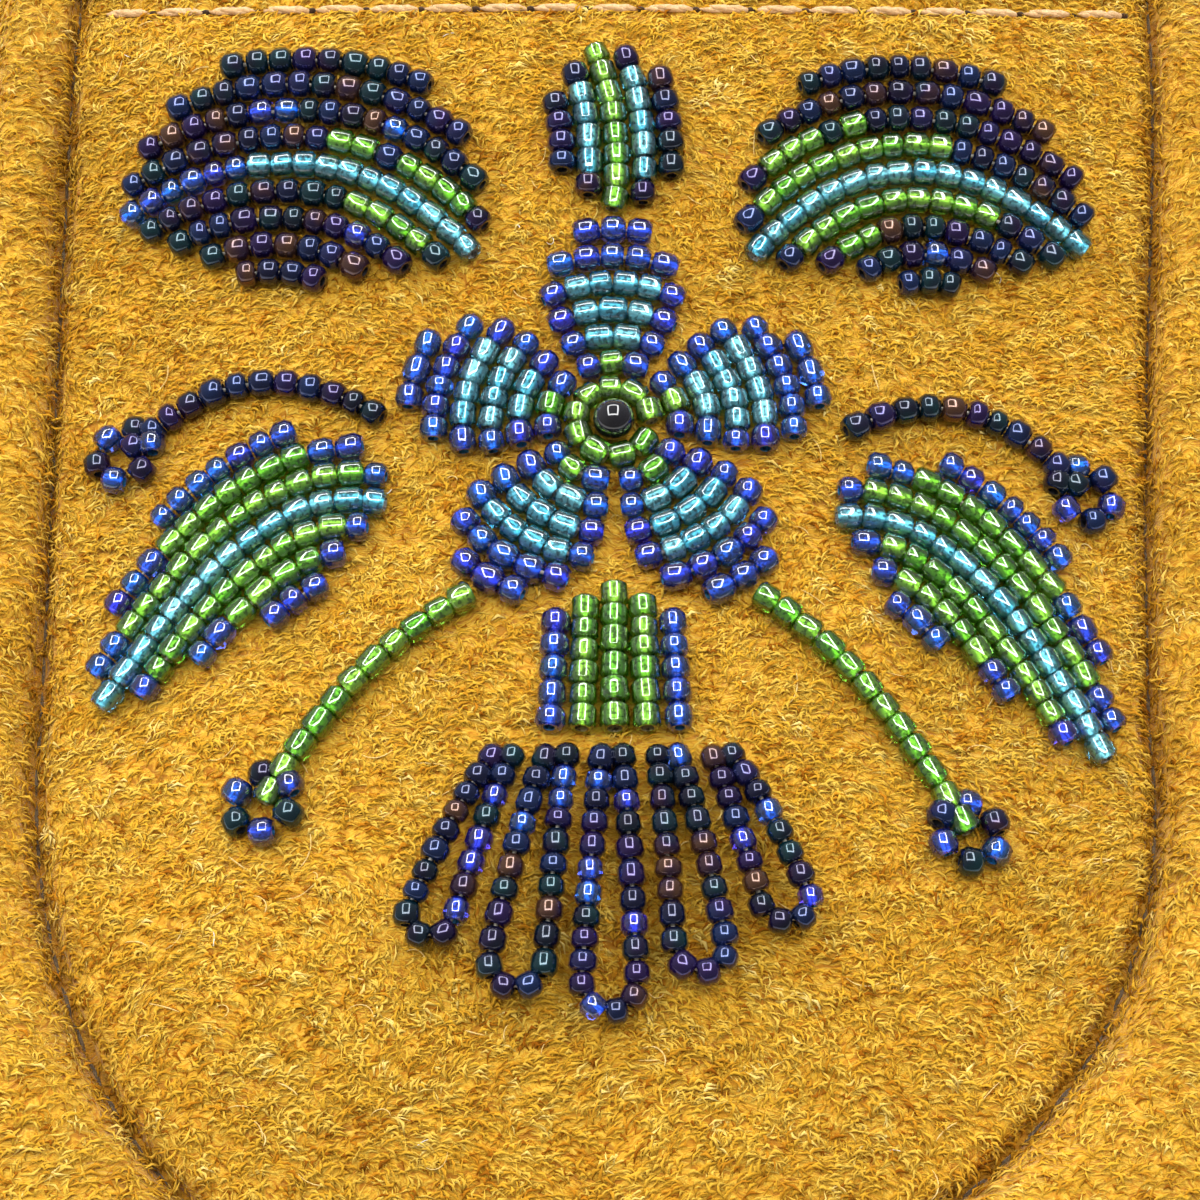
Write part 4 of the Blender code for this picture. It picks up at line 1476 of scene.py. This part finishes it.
def iris_material():
    """Dark glass with a metallic iris coat that runs from navy through purple to green and bronze."""
    material, tree, shader = new_material(
        "Iris glass", 0.7, 0.16, Coat_Weight=0.9, Coat_Roughness=0.03, Specular_IOR_Level=0.6
    )
    drift = tree.grain(tree.object_place(), 520.0, 1.0)
    tone = tree.product(tree.maths("SUBTRACT", drift, 0.5), 0.4)
    tone = tree.maths("ADD", tone, tree.attribute("tone"), clamp=True)
    tree.connect(shader["Base Color"], tree.ramp(tone, IRIS_COLOURS))
    return material


def clear_glass_material(name, clearness, deep, main, light):
    """Glass whose rims take a deeper colour as they turn from view, painted shade for the darker rims that
    refraction gives real glass; each bead's own tone lies between the main colour and the light one.
    """
    coat = {"Coat_Weight": 1.0, "Coat_Roughness": 0.02, "Coat_IOR": 1.8}
    plain = {"Transmission_Weight": clearness, "IOR": 1.6, **coat}
    material, tree, shader = new_material(name, 0.0, 0.04, **plain)
    face_on = tree.ramp(tree.attribute("tone"), ((0.0, main), (1.0, light)))
    edge_on = tree.ease(tree.add("ShaderNodeLayerWeight").outputs["Facing"], 0.15, 0.85)
    # painted shade at the rims
    tree.connect(shader["Base Color"], tree.mix(edge_on, face_on, (*deep, 1)))
    return material


def lining_material(name, colour):
    """The uneven mirror lining of a bead's hole."""
    material, tree, shader = new_material(name, 0.85, 0.3)
    shine = tree.grain(tree.object_place(), 3200.0, 1.0)
    dull = tuple(0.25 * c for c in colour)
    tree.connect(shader["Base Color"], tree.ramp(shine, ((0.38, dull), (0.52, colour))))
    return material


def black_glass_material():
    material, tree, shader = new_material("Black glass", 0.0, 0.05, Coat_Weight=1.0, Coat_Roughness=0.02)
    tint = tree.grain(tree.object_place(), 300.0, 1.0)
    tree.connect(shader["Base Color"], tree.ramp(tint, BLACK_COLOURS))
    return material


BARE_HOLE = "Bare hole", (0.12, 0.12, 0.14)
# deep: the painted shade of the glass's rims
ClearGlass = namedtuple("ClearGlass", "kind name profile clearness deep main light lining_name lining")
CLEAR_GLASSES = (
    ClearGlass(
        "teal", "Teal glass", STRAIGHT_PROFILE, 0.96,
        (0.01, 0.18, 0.32), (0.05, 0.44, 0.64), (0.22, 0.68, 0.80),
        "Silver lining", (0.97, 0.99, 0.97),
    ),
    ClearGlass(
        "green", "Green glass", STRAIGHT_PROFILE, 0.96,
        (0.015, 0.22, 0.006), (0.10, 0.49, 0.025), (0.27, 0.68, 0.09),
        "Gilt lining", (1.0, 0.90, 0.5),
    ),
    ClearGlass(
        "cobalt", "Cobalt glass", ROUND_PROFILE, 0.94,
        (0.03, 0.02, 0.42), (0.10, 0.05, 0.68), (0.04, 0.26, 0.80),
        "Blue lining", (0.15, 0.55, 0.95),
    ),
)


def build_bead_kind(kind, profile, glass, lining):
    """All beads of one kind. Those with straight sides keep their sides flat in the light."""
    shape = bead_object("bead", profile)
    if profile is STRAIGHT_PROFILE:
        shape.modifiers.new("Straight sides", "WEIGHTED_NORMAL").keep_sharp = True
    copied("beads_" + kind, beads[kind], shape, glass, "glass_beads", lining)


def build_beads():
    build_bead_kind("iris", ROUND_PROFILE, iris_material(), lining_material(*BARE_HOLE))
    for made_of in CLEAR_GLASSES:
        colours = made_of.deep, made_of.main, made_of.light
        glass = clear_glass_material(made_of.name, made_of.clearness, *colours)
        lining = lining_material(made_of.lining_name, made_of.lining)
        build_bead_kind(made_of.kind, made_of.profile, glass, lining)
    copied("beads_round", beads["round"], ball_object("ball", 24, 14), black_glass_material(), "glass_beads")


# ---------------------------------------------------------------- threads and stitches

BEAD_THREAD_RADIUS = 0.15
Stitching = namedtuple("Stitching", "pitch length thickness sink")
SEAM_STITCHES = Stitching(2.9, 1.9, 0.34, 0.10)
BACK_STITCHES = Stitching(3.2, 2.2, 0.45, 0.05)
TOP_STITCHES = Stitching(4.3, 3.7, 0.80, 0.02)
STITCH_HEIGHT = 0.6  # of a stitch's middle, where 1 would lay it on the suede but for its sink
PLY_TURNS, PLY_STEPS, PLY_SIDES = 1.6, 11, 5
PLY_RADIUS, PLY_ENDS, PLY_BLUNT, PLY_SINK = 0.27, 0.02, 0.35, 0.9
# dark ovals sunk in the needle holes: painted shade inside them
HOLE_LENGTH, HOLE_WIDTH, HOLE_DEPTH = 0.75, 0.55, 0.22


def build_bead_threads():
    paths = [(path, BEAD_THREAD_RADIUS) for path in thread_paths]
    made = add_object("bead_threads", joined_tubes("bead_threads", paths, 5))
    # the second colour is the painted light on the thread's strands
    made.data.materials.append(thread_material("Pale thread", PALE_THREAD, (0.8, 0.76, 0.66)))
    finish_piece(made, "thread")


def stitch_object(plies):
    """A stitch one unit long and thick, of one strand or of twisted plies, sunk at both ends."""
    radius = PLY_RADIUS if plies > 1 else 0.5
    t = np.linspace(0, 1, PLY_STEPS)
    fade = np.sin(math.pi * np.clip(t * (1 - 2 * PLY_ENDS) + PLY_ENDS, 0, 1)) ** PLY_BLUNT
    sag = -PLY_SINK * np.abs(2 * t - 1) ** 5
    paths = []
    for ply in range(plies):
        angle = 2 * math.pi * (PLY_TURNS * t + ply / plies)
        swing = (0.5 - radius) * fade
        path = np.column_stack([t - 0.5, swing * np.cos(angle), swing * np.sin(angle) + sag])
        paths.append((path, radius * fade))
    return add_object("stitch", joined_tubes("stitch", paths, PLY_SIDES))


def line_seats(points, normals, stitching):
    """Seats at even steps along a line on a surface."""
    run = run_along(points)
    count = int(run[-1] // stitching.pitch)
    for s in (np.arange(count) + 0.5) * run[-1] / count:
        place, ahead, behind = (value_at(run, points, at) for at in (s, s + 0.5, s - 0.5))
        up = value_at(run, normals, s)
        along = (ahead - behind) / np.linalg.norm(ahead - behind)
        sunk = place + up * (0.5 * stitching.thickness - stitching.sink) * STITCH_HEIGHT
        length = stitching.length * chance.uniform(0.94, 1.04)
        yield Seat(sunk, along, up, length, stitching.thickness, chance.random())


def needle_holes(seats, pitch):
    """A dark oval sunk at one end of each stitch, between it and the next: painted shade inside the needle
    hole.
    """
    for seat in seats:
        place = seat.place + 0.5 * pitch * seat.along - seat.up * HOLE_DEPTH * seat.width
        yield seat._replace(place=place, length=HOLE_LENGTH, width=HOLE_WIDTH)


def sew_line(name, lines, stitching, plies, material):
    """A stitched row along each line, as one piece."""
    seats = [seat for points, normals in lines for seat in line_seats(points, normals, stitching)]
    copied(name, seats, stitch_object(plies), material, "thread")
    return seats


def wall_line(skin, drop):
    """A line round the collar, a given way down the wall from its edge."""
    around, rows = len(edge_ring), WALL_ROWS + 2
    points, normals = (
        values[: rows * around].reshape(rows, around, 3)[::-1] for values in (skin.points, skin.normals)
    )
    line, ups = [], []
    for c in range(THROAT_ROW, around - THROAT_ROW + 1):
        run = run_along(points[:, c])
        line.append(value_at(run, points[:, c], drop))
        ups.append(value_at(run, normals[:, c], drop))
    return np.array(line), np.array(ups)


def skin_line(skin, indices):
    return skin.points[indices], skin.normals[indices]


def build_stitches(upper):
    # each second colour is the painted light on the strands' tops
    dark = thread_material("Dark thread", DARK_THREAD, (0.16, 0.11, 0.06), 0.8)
    tan = thread_material("Tan thread", TAN_THREAD, (0.72, 0.47, 0.24), 0.7)
    around = len(edge_ring)
    top = (WALL_ROWS + 1) * around
    seam = [*range(THROAT_ROW, -1, -1), *range(around - 1, around - THROAT_ROW - 1, -1)]
    sew_line("seam_stitches", [skin_line(upper, [top + i for i in seam])], SEAM_STITCHES, 1, dark)
    heel = (around + 1) // 2
    back_seam = [heel + r * around for r in range(3, WALL_ROWS - 4)]
    sew_line("back_seam_stitches", [skin_line(upper, back_seam)], BACK_STITCHES, 1, dark)
    throat = throat_line(THROAT_HEM)[3:-3]
    lines = [on_vamp(throat[:, 0], throat[:, 1]), wall_line(upper, COLLAR_HEM)]
    seats = sew_line("top_stitches", lines, TOP_STITCHES, 2, tan)
    # painted shade inside the needle holes
    shade = thread_material("Needle hole", (0.02, 0.009, 0.002), (0.05, 0.02, 0.005), 0.95)
    hole_shades = list(needle_holes(seats, TOP_STITCHES.pitch))
    copied("needle_holes", hole_shades, ball_object("ball", 10, 6), shade, "suede")


# ---------------------------------------------------------------- loose fibres and lint

Loose = namedtuple("Loose", "name count length radius rise dark light")
# dark and light: the painted shade between each fibre's strands and the painted light on their tops
LOOSE = (
    Loose("loose_fibres", 130, (1.0, 2.8), 0.045, 0.45, (0.62, 0.38, 0.07), (0.84, 0.62, 0.24)),
    Loose("lint", 16, (0.6, 1.6), 0.035, 0.3, (0.72, 0.66, 0.52), (0.88, 0.84, 0.74)),
)
LOOSE_STEPS = 8
LOOSE_FROM_Y, LOOSE_TO_Y, LOOSE_MARGIN = -100, -10, 3
LOOSE_LIFT = 0.22


def loose_path(length, rise):
    """A curling fibre somewhere on the vamp, lying close with its ends a little up."""
    y = chance.uniform(LOOSE_FROM_Y, LOOSE_TO_Y)
    reach = EDGE_LINE.x("medial", y) + LOOSE_MARGIN, EDGE_LINE.x("lateral", y) - LOOSE_MARGIN
    x = chance.uniform(*reach)
    angle = chance.gauss(0.25, 0.7)
    curl = chance.gauss(0, 0.9) / length
    xs, ys = [], []
    for _ in range(LOOSE_STEPS):
        xs.append(x)
        ys.append(y)
        x += math.cos(angle) * length / LOOSE_STEPS
        y += math.sin(angle) * length / LOOSE_STEPS
        angle += curl * length / LOOSE_STEPS * 2
    places, normals = on_vamp(np.clip(xs, *reach), ys)
    t = np.linspace(-1, 1, LOOSE_STEPS)
    height = rise * chance.random() * np.clip(t + chance.uniform(-0.4, 0.4), 0, 1) ** 1.5
    return places + normals * (LOOSE_LIFT + height)[:, None]


def build_loose():
    for loose in LOOSE:
        paths = []
        for _ in range(loose.count):
            path = loose_path(chance.uniform(*loose.length), loose.rise)
            taper = 1 - 0.6 * np.abs(np.linspace(-1, 1, len(path))) ** 3
            paths.append((path, loose.radius * chance.uniform(0.7, 1.3) * taper))
        made = add_object(loose.name, joined_tubes(loose.name, paths, 4))
        material_name = loose.name.replace("_", " ").capitalize()
        made.data.materials.append(thread_material(material_name, loose.dark, loose.light))
        finish_piece(made, "suede")


# ---------------------------------------------------------------- tongue, insole and outsole


def covered_height(x, y):
    """Outer face of the tongue where it lies under the vamp, one wall and a clearance below."""
    slope_y = (vamp_height(x, y + TONGUE_STEP) - vamp_height(x, y - TONGUE_STEP)) / (2 * TONGUE_STEP)
    slope_x = (vamp_height(x + TONGUE_STEP, y) - vamp_height(x - TONGUE_STEP, y)) / (2 * TONGUE_STEP)
    return vamp_height(x, y) - (WALL + 2 * CLEARANCE) * np.sqrt(1 + slope_y**2 + slope_x**2)


def tongue_line(along):
    """Y and height of the tongue's middle line: under the vamp at first, then turning up to its top."""
    covered = THROAT_Y - TONGUE_START_Y
    y, z = TONGUE_START_Y, float(covered_height(0, TONGUE_START_Y))
    slope = 0.0
    for length in np.arange(0, along, TONGUE_STEP):
        if length <= covered:
            rise = float(covered_height(0, y + TONGUE_STEP) - covered_height(0, y))
            slope = angle = math.atan2(rise, TONGUE_STEP)
        else:
            angle = slope + (TONGUE_SLOPE - slope) * min((length - covered) / TONGUE_BEND, 1)
        advance = min(TONGUE_STEP, along - length)
        y, z = y + advance * math.cos(angle), z + advance * math.sin(angle)
    return y, z


def tongue_rows():
    corner_start = TONGUE_SECTIONS[-1].along - TONGUE_CORNER
    straight = np.linspace(0, corner_start, TONGUE_STRAIGHT_ROWS + 1)
    turn = np.sin(np.linspace(0, TONGUE_TIP, TONGUE_CORNER_ROWS + 1))
    return np.concatenate([straight, corner_start + TONGUE_CORNER * turn[1:]])


def tongue_skin():
    """Outer face of the tongue as one open sheet, with its two top corners rounded."""
    half_width = natural_spline(column(TONGUE_SECTIONS, "along"), column(TONGUE_SECTIONS, "half_width"))
    corner_start = TONGUE_SECTIONS[-1].along - TONGUE_CORNER
    points, faces = [], []
    for along in tongue_rows():
        y, z = tongue_line(along)
        crown_y = min(y, THROAT_Y)
        reach = max(along - corner_start, 0) / TONGUE_CORNER
        width = half_width(along) * (1 - reach**TONGUE_CORNER_POWER) ** (1 / TONGUE_CORNER_POWER)
        x = np.linspace(-width, width, TONGUE_COLUMNS + 1)
        height = z + covered_height(x, crown_y) - covered_height(0, crown_y)
        points += list(np.column_stack([x, np.full(len(x), y), height]))
    across = TONGUE_COLUMNS + 1
    for r in range(len(points) // across - 1):
        for i in range(r * across, r * across + TONGUE_COLUMNS):
            faces.append((i, i + 1, i + across + 1, i + across))
    return np.array(points), faces


TONGUE_NAP = 1.6
NAP_TO_RIM = 2.2  # the fibres of the tongue start this far in from its edge
NAP_UNDER_VAMP = 3.0  # and this far under the vamp
TONGUE_FREE, TONGUE_RIPPLE = 8.0, 0.8  # it is rippled once it is this far out from under the vamp


def tongue_surface():
    points, faces = tongue_skin()
    free = np.clip((points[:, 1] - THROAT_Y) / TONGUE_FREE, 0, 1)
    flat_normals = normals_of(points, faces)
    moved = points + flat_normals * (TONGUE_RIPPLE * ripple_relief(points) * free)[:, None]
    rows = points.reshape(-1, TONGUE_COLUMNS + 1, 3)
    rim = np.concatenate([rows[:-1, 0], rows[-1], rows[-2::-1, -1]])
    clear = (distance_to(points, rim) > NAP_TO_RIM) & (points[:, 1] > THROAT_Y - NAP_UNDER_VAMP)
    nap = np.where(clear, TONGUE_NAP, 0.0)
    under = points - flat_normals * TONGUE_THICKNESS
    return Skin(under, moved, normals_of(moved, faces), faces, nap, np.zeros(len(points)))


def layer_mesh(name, ring, low, high):
    """A closed layer between two height functions of Y, with its outline along the ring."""
    around = len(ring)
    heel = around // 2
    points = np.concatenate([with_height(ring, height(ring[:, 1])) for height in (low, high)])
    faces = []
    for c in range(around):
        n = (c + 1) % around
        faces.append((c, c + around, n + around, n))
    for r in range(heel):
        strip = [r, r + 1, around - r - 1, around - r]
        if r == 0:
            strip.pop()
        elif r == heel - 1:
            strip.pop(1)
        faces.append(tuple(strip))
        faces.append(tuple(corner + around for corner in reversed(strip)))
    return build_mesh(name, points, faces)


def build_layer(name, slot, node, ring, low, high, material):
    """A layer with rounded edges, such as a sole."""
    made = add_object(name, layer_mesh(name, ring, low, high))
    made.data.materials.append(material)
    edges = made.modifiers.new("Rounded edges", "BEVEL")
    edges.width = SOLE_EDGE_ROUND * MM
    edges.segments = 3
    edges.limit_method = "ANGLE"
    edges.angle_limit = math.radians(50)
    frozen(made)
    smooth(made.data, 40)
    return finish_piece(made, slot, node)


def insole_underside(y):
    return sole_top(y) + CLEARANCE


def insole_top(y):
    return insole_underside(y) + INSOLE_THICKNESS


def build_soles():
    y = fine_y[::2]
    leather = plain_leather_material(
        "Sole leather", (0.075, 0.034, 0.014), (0.15, 0.072, 0.03), (0.24, 0.13, 0.06), 0.6, 1300.0
    )
    outline = SOLE_LINE.ring(y)
    build_layer("leather_outsole", "sole_leather", "outsole", outline, sole_lift, sole_top, leather)
    leather = plain_leather_material(
        "Insole leather", (0.40, 0.25, 0.12), (0.55, 0.38, 0.2), (0.66, 0.49, 0.30), 0.75, 1100.0
    )
    outline = inset_ring(y, FEATHER_INSET + WALL + CLEARANCE)
    heights = insole_underside, insole_top
    build_layer("leather_insole", "insole_leather", "insole", outline, *heights, leather)


# ---------------------------------------------------------------- stage

CAMERA_PLACE = (0.0, -173.03, 176.51)
CAMERA_ELEVATION = 48.48
CAMERA_LENS = 72.0
SENSOR_WIDTH = 36.0
NEAREST_VIEW, FARTHEST_VIEW = 10.0, 20000.0
FLOOR_HALF_WIDTH = 6000.0
FLOOR_COLOURS = ((0.3, (0.82, 0.82, 0.81)), (0.7, (0.86, 0.86, 0.85)))
VAMP_MIDDLE = (0.0, -50.0, 52.0)  # the lamps stand about this place and turn to it
Lamp = namedtuple("Lamp", "name place width depth power")
RING_MIDDLE, RING_HEIGHT = (-40.0, 120.0), 500.0
RING_HALF_WIDTH, RING_HALF_DEPTH, RING_BAR = 240.0, 300.0, 78.0
RING_POWER = 1.55  # of each long bar; the others by their area


def ring_lamps():
    """Four bars of a rectangular ring light that hangs level over the shoe."""
    across, along = 2 * RING_HALF_WIDTH + RING_BAR, 2 * RING_HALF_DEPTH - RING_BAR
    for name, x, y, width, depth in (
        ("ring front", 0, -RING_HALF_DEPTH, across, RING_BAR),
        ("ring back", 0, RING_HALF_DEPTH, across, RING_BAR),
        ("ring left", -RING_HALF_WIDTH, 0, RING_BAR, along),
        ("ring right", RING_HALF_WIDTH, 0, RING_BAR, along),
    ):
        place = (RING_MIDDLE[0] + x, RING_MIDDLE[1] + y, RING_HEIGHT)
        yield Lamp(name, place, width, depth, RING_POWER * width * depth / (across * RING_BAR))


SURROUND_BRIGHT_WAY = (-0.45, 0.6, 0.25)
SURROUND_COLOURS = ((0.0, (0.42, 0.40, 0.38)), (1.0, (1.0, 0.97, 0.93)))
SURROUND_STRENGTH = 0.4
LAMPS = (
    *ring_lamps(),
    Lamp("left window", (-650, 60, 380), 700, 700, 4.6),
    Lamp("right window", (650, 100, 340), 600, 600, 2.8),
    Lamp("back window", (0, 650, 480), 700, 500, 1.9),
    Lamp("front card", (0, -900, 700), 700, 500, 0.9),
)


def build_camera():
    camera = bpy.data.cameras.new("camera")
    camera.lens = CAMERA_LENS
    camera.sensor_width = SENSOR_WIDTH
    camera.clip_start, camera.clip_end = NEAREST_VIEW * MM, FARTHEST_VIEW * MM
    made = add_object("camera", camera)
    made.location = [MM * c for c in CAMERA_PLACE]
    made.rotation_euler = (math.radians(90 - CAMERA_ELEVATION), 0, 0)
    bpy.context.scene.camera = made


def build_lamps():
    for lamp in LAMPS:
        light = bpy.data.lights.new(lamp.name, "AREA")
        light.shape = "RECTANGLE"
        light.size, light.size_y = lamp.width * MM, lamp.depth * MM
        light.energy = lamp.power
        made = add_object(lamp.name, light)
        made.location = [MM * (a + b) for a, b in zip(lamp.place, VAMP_MIDDLE)]
        if "ring" not in lamp.name:
            made.visible_glossy = False
            made.rotation_euler = Vector([-c for c in lamp.place]).to_track_quat("-Z", "Y").to_euler()


def build_floor():
    material, tree, shader = new_material("Pale floor", 0.0, 0.7)
    speckle = tree.grain(tree.object_place(), 40.0, 2.0)
    tree.connect(shader["Base Color"], tree.ramp(speckle, FLOOR_COLOURS))
    ways = (-1, -1), (1, -1), (1, 1), (-1, 1)
    corners = [(x * FLOOR_HALF_WIDTH, y * FLOOR_HALF_WIDTH, 0) for x, y in ways]
    floor = add_object("floor", build_mesh("floor", corners, [(0, 1, 2, 3)]))
    floor.data.materials.append(material)
    floor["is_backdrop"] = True


def build_world():
    """A soft studio surround: brighter behind and to the left, dim on the viewer's side."""
    world = bpy.data.worlds.new("studio")
    world.use_nodes = True
    sky = world.node_tree.nodes["Background"].inputs
    tree = Tree(world.node_tree)
    way = tree.add("ShaderNodeTexCoord").outputs["Generated"]
    share = tree.ease(tree.dot(way, SURROUND_BRIGHT_WAY), -0.6, 0.9)
    tree.connect(sky["Color"], tree.ramp(share, SURROUND_COLOURS))
    sky["Strength"].default_value = SURROUND_STRENGTH
    bpy.context.scene.world = world
    bpy.context.scene.view_settings.view_transform = "Standard"


# ---------------------------------------------------------------- the moccasin


VAMP_FACE_DEPTH = 4.0  # farther from the vamp's plain height, a place belongs to the wall


def on_vamp_face(p):
    """True for a place on the vamp, inside the seam."""
    if not EDGE_TOE.tip < p.y <= THROAT_Y:
        return False
    inside = EDGE_LINE.x("medial", p.y) < p.x < EDGE_LINE.x("lateral", p.y)
    return bool(inside and abs(p.z - vamp_height(p.x, p.y)) < VAMP_FACE_DEPTH)


NAP_SEED = 5
NapRegion = namedtuple("NapRegion", "name on length thickness keep")
NAP_REGIONS = (
    NapRegion("nap_vamp_toe", "upper", 1.4, 1.0, lambda p: on_vamp_face(p) and p.y < -70),
    NapRegion("nap_vamp_middle", "upper", 1.4, 1.0, lambda p: on_vamp_face(p) and -70 <= p.y < -40),
    NapRegion("nap_vamp_back", "upper", 1.4, 1.0, lambda p: on_vamp_face(p) and p.y >= -40),
    NapRegion("nap_side_front", "upper", 1.5, 1.0, lambda p: not on_vamp_face(p) and p.y < -40),
    NapRegion("nap_side_back", "upper", 1.5, 1.0, lambda p: not on_vamp_face(p) and p.y >= -40),
    NapRegion("nap_tongue", "tongue", 2.0, 1.3, lambda p: True),
)


def build_suede(skins):
    """The two walls of suede, each named for the solid that it replaces."""
    lining = plain_leather_material(
        "Flesh side", (0.36, 0.18, 0.03), (0.50, 0.27, 0.05), (0.60, 0.36, 0.09), 0.9, 1500.0
    )
    cut_edge = plain_leather_material(
        "Cut edge", (0.42, 0.20, 0.02), (0.58, 0.31, 0.04), (0.72, 0.44, 0.09), 0.9, 1700.0
    )
    materials = suede_skin_material(), lining, cut_edge
    for node, skin in skins.items():
        build_wall("suede_" + node, skin, materials, node)


def build_nap(skins):
    """The fibres on the outer faces, in regions that each make one piece."""
    faces = {node: skin_object(node + "_face", skin) for node, skin in skins.items()}
    strand, tree, nap = strand_object(), nap_tree(), suede_nap_material()
    strand.data.materials.append(nap)
    for number, region in enumerate(NAP_REGIONS):
        settings = {"Strand": strand, "Material": nap, "Seed": NAP_SEED + number}
        settings |= {"Length": region.length, "Thickness": region.thickness}
        skin = part_of_skin(faces[region.on], region.keep)
        finish_piece(grown(region.name, skin, tree, settings), "suede")
    for spare in (*faces.values(), strand):
        bpy.data.objects.remove(spare)


build_world()
build_camera()
build_lamps()
build_floor()
bead_vamp()
skins = {"upper": upper_surface(), "tongue": tongue_surface()}
build_suede(skins)
build_nap(skins)
build_soles()
build_beads()
build_bead_threads()
build_stitches(skins["upper"])
build_loose()

boxes = {"cad": cad_bounds, "visual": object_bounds()}
{name: [list(corner) for corner in box] for name, box in boxes.items()}
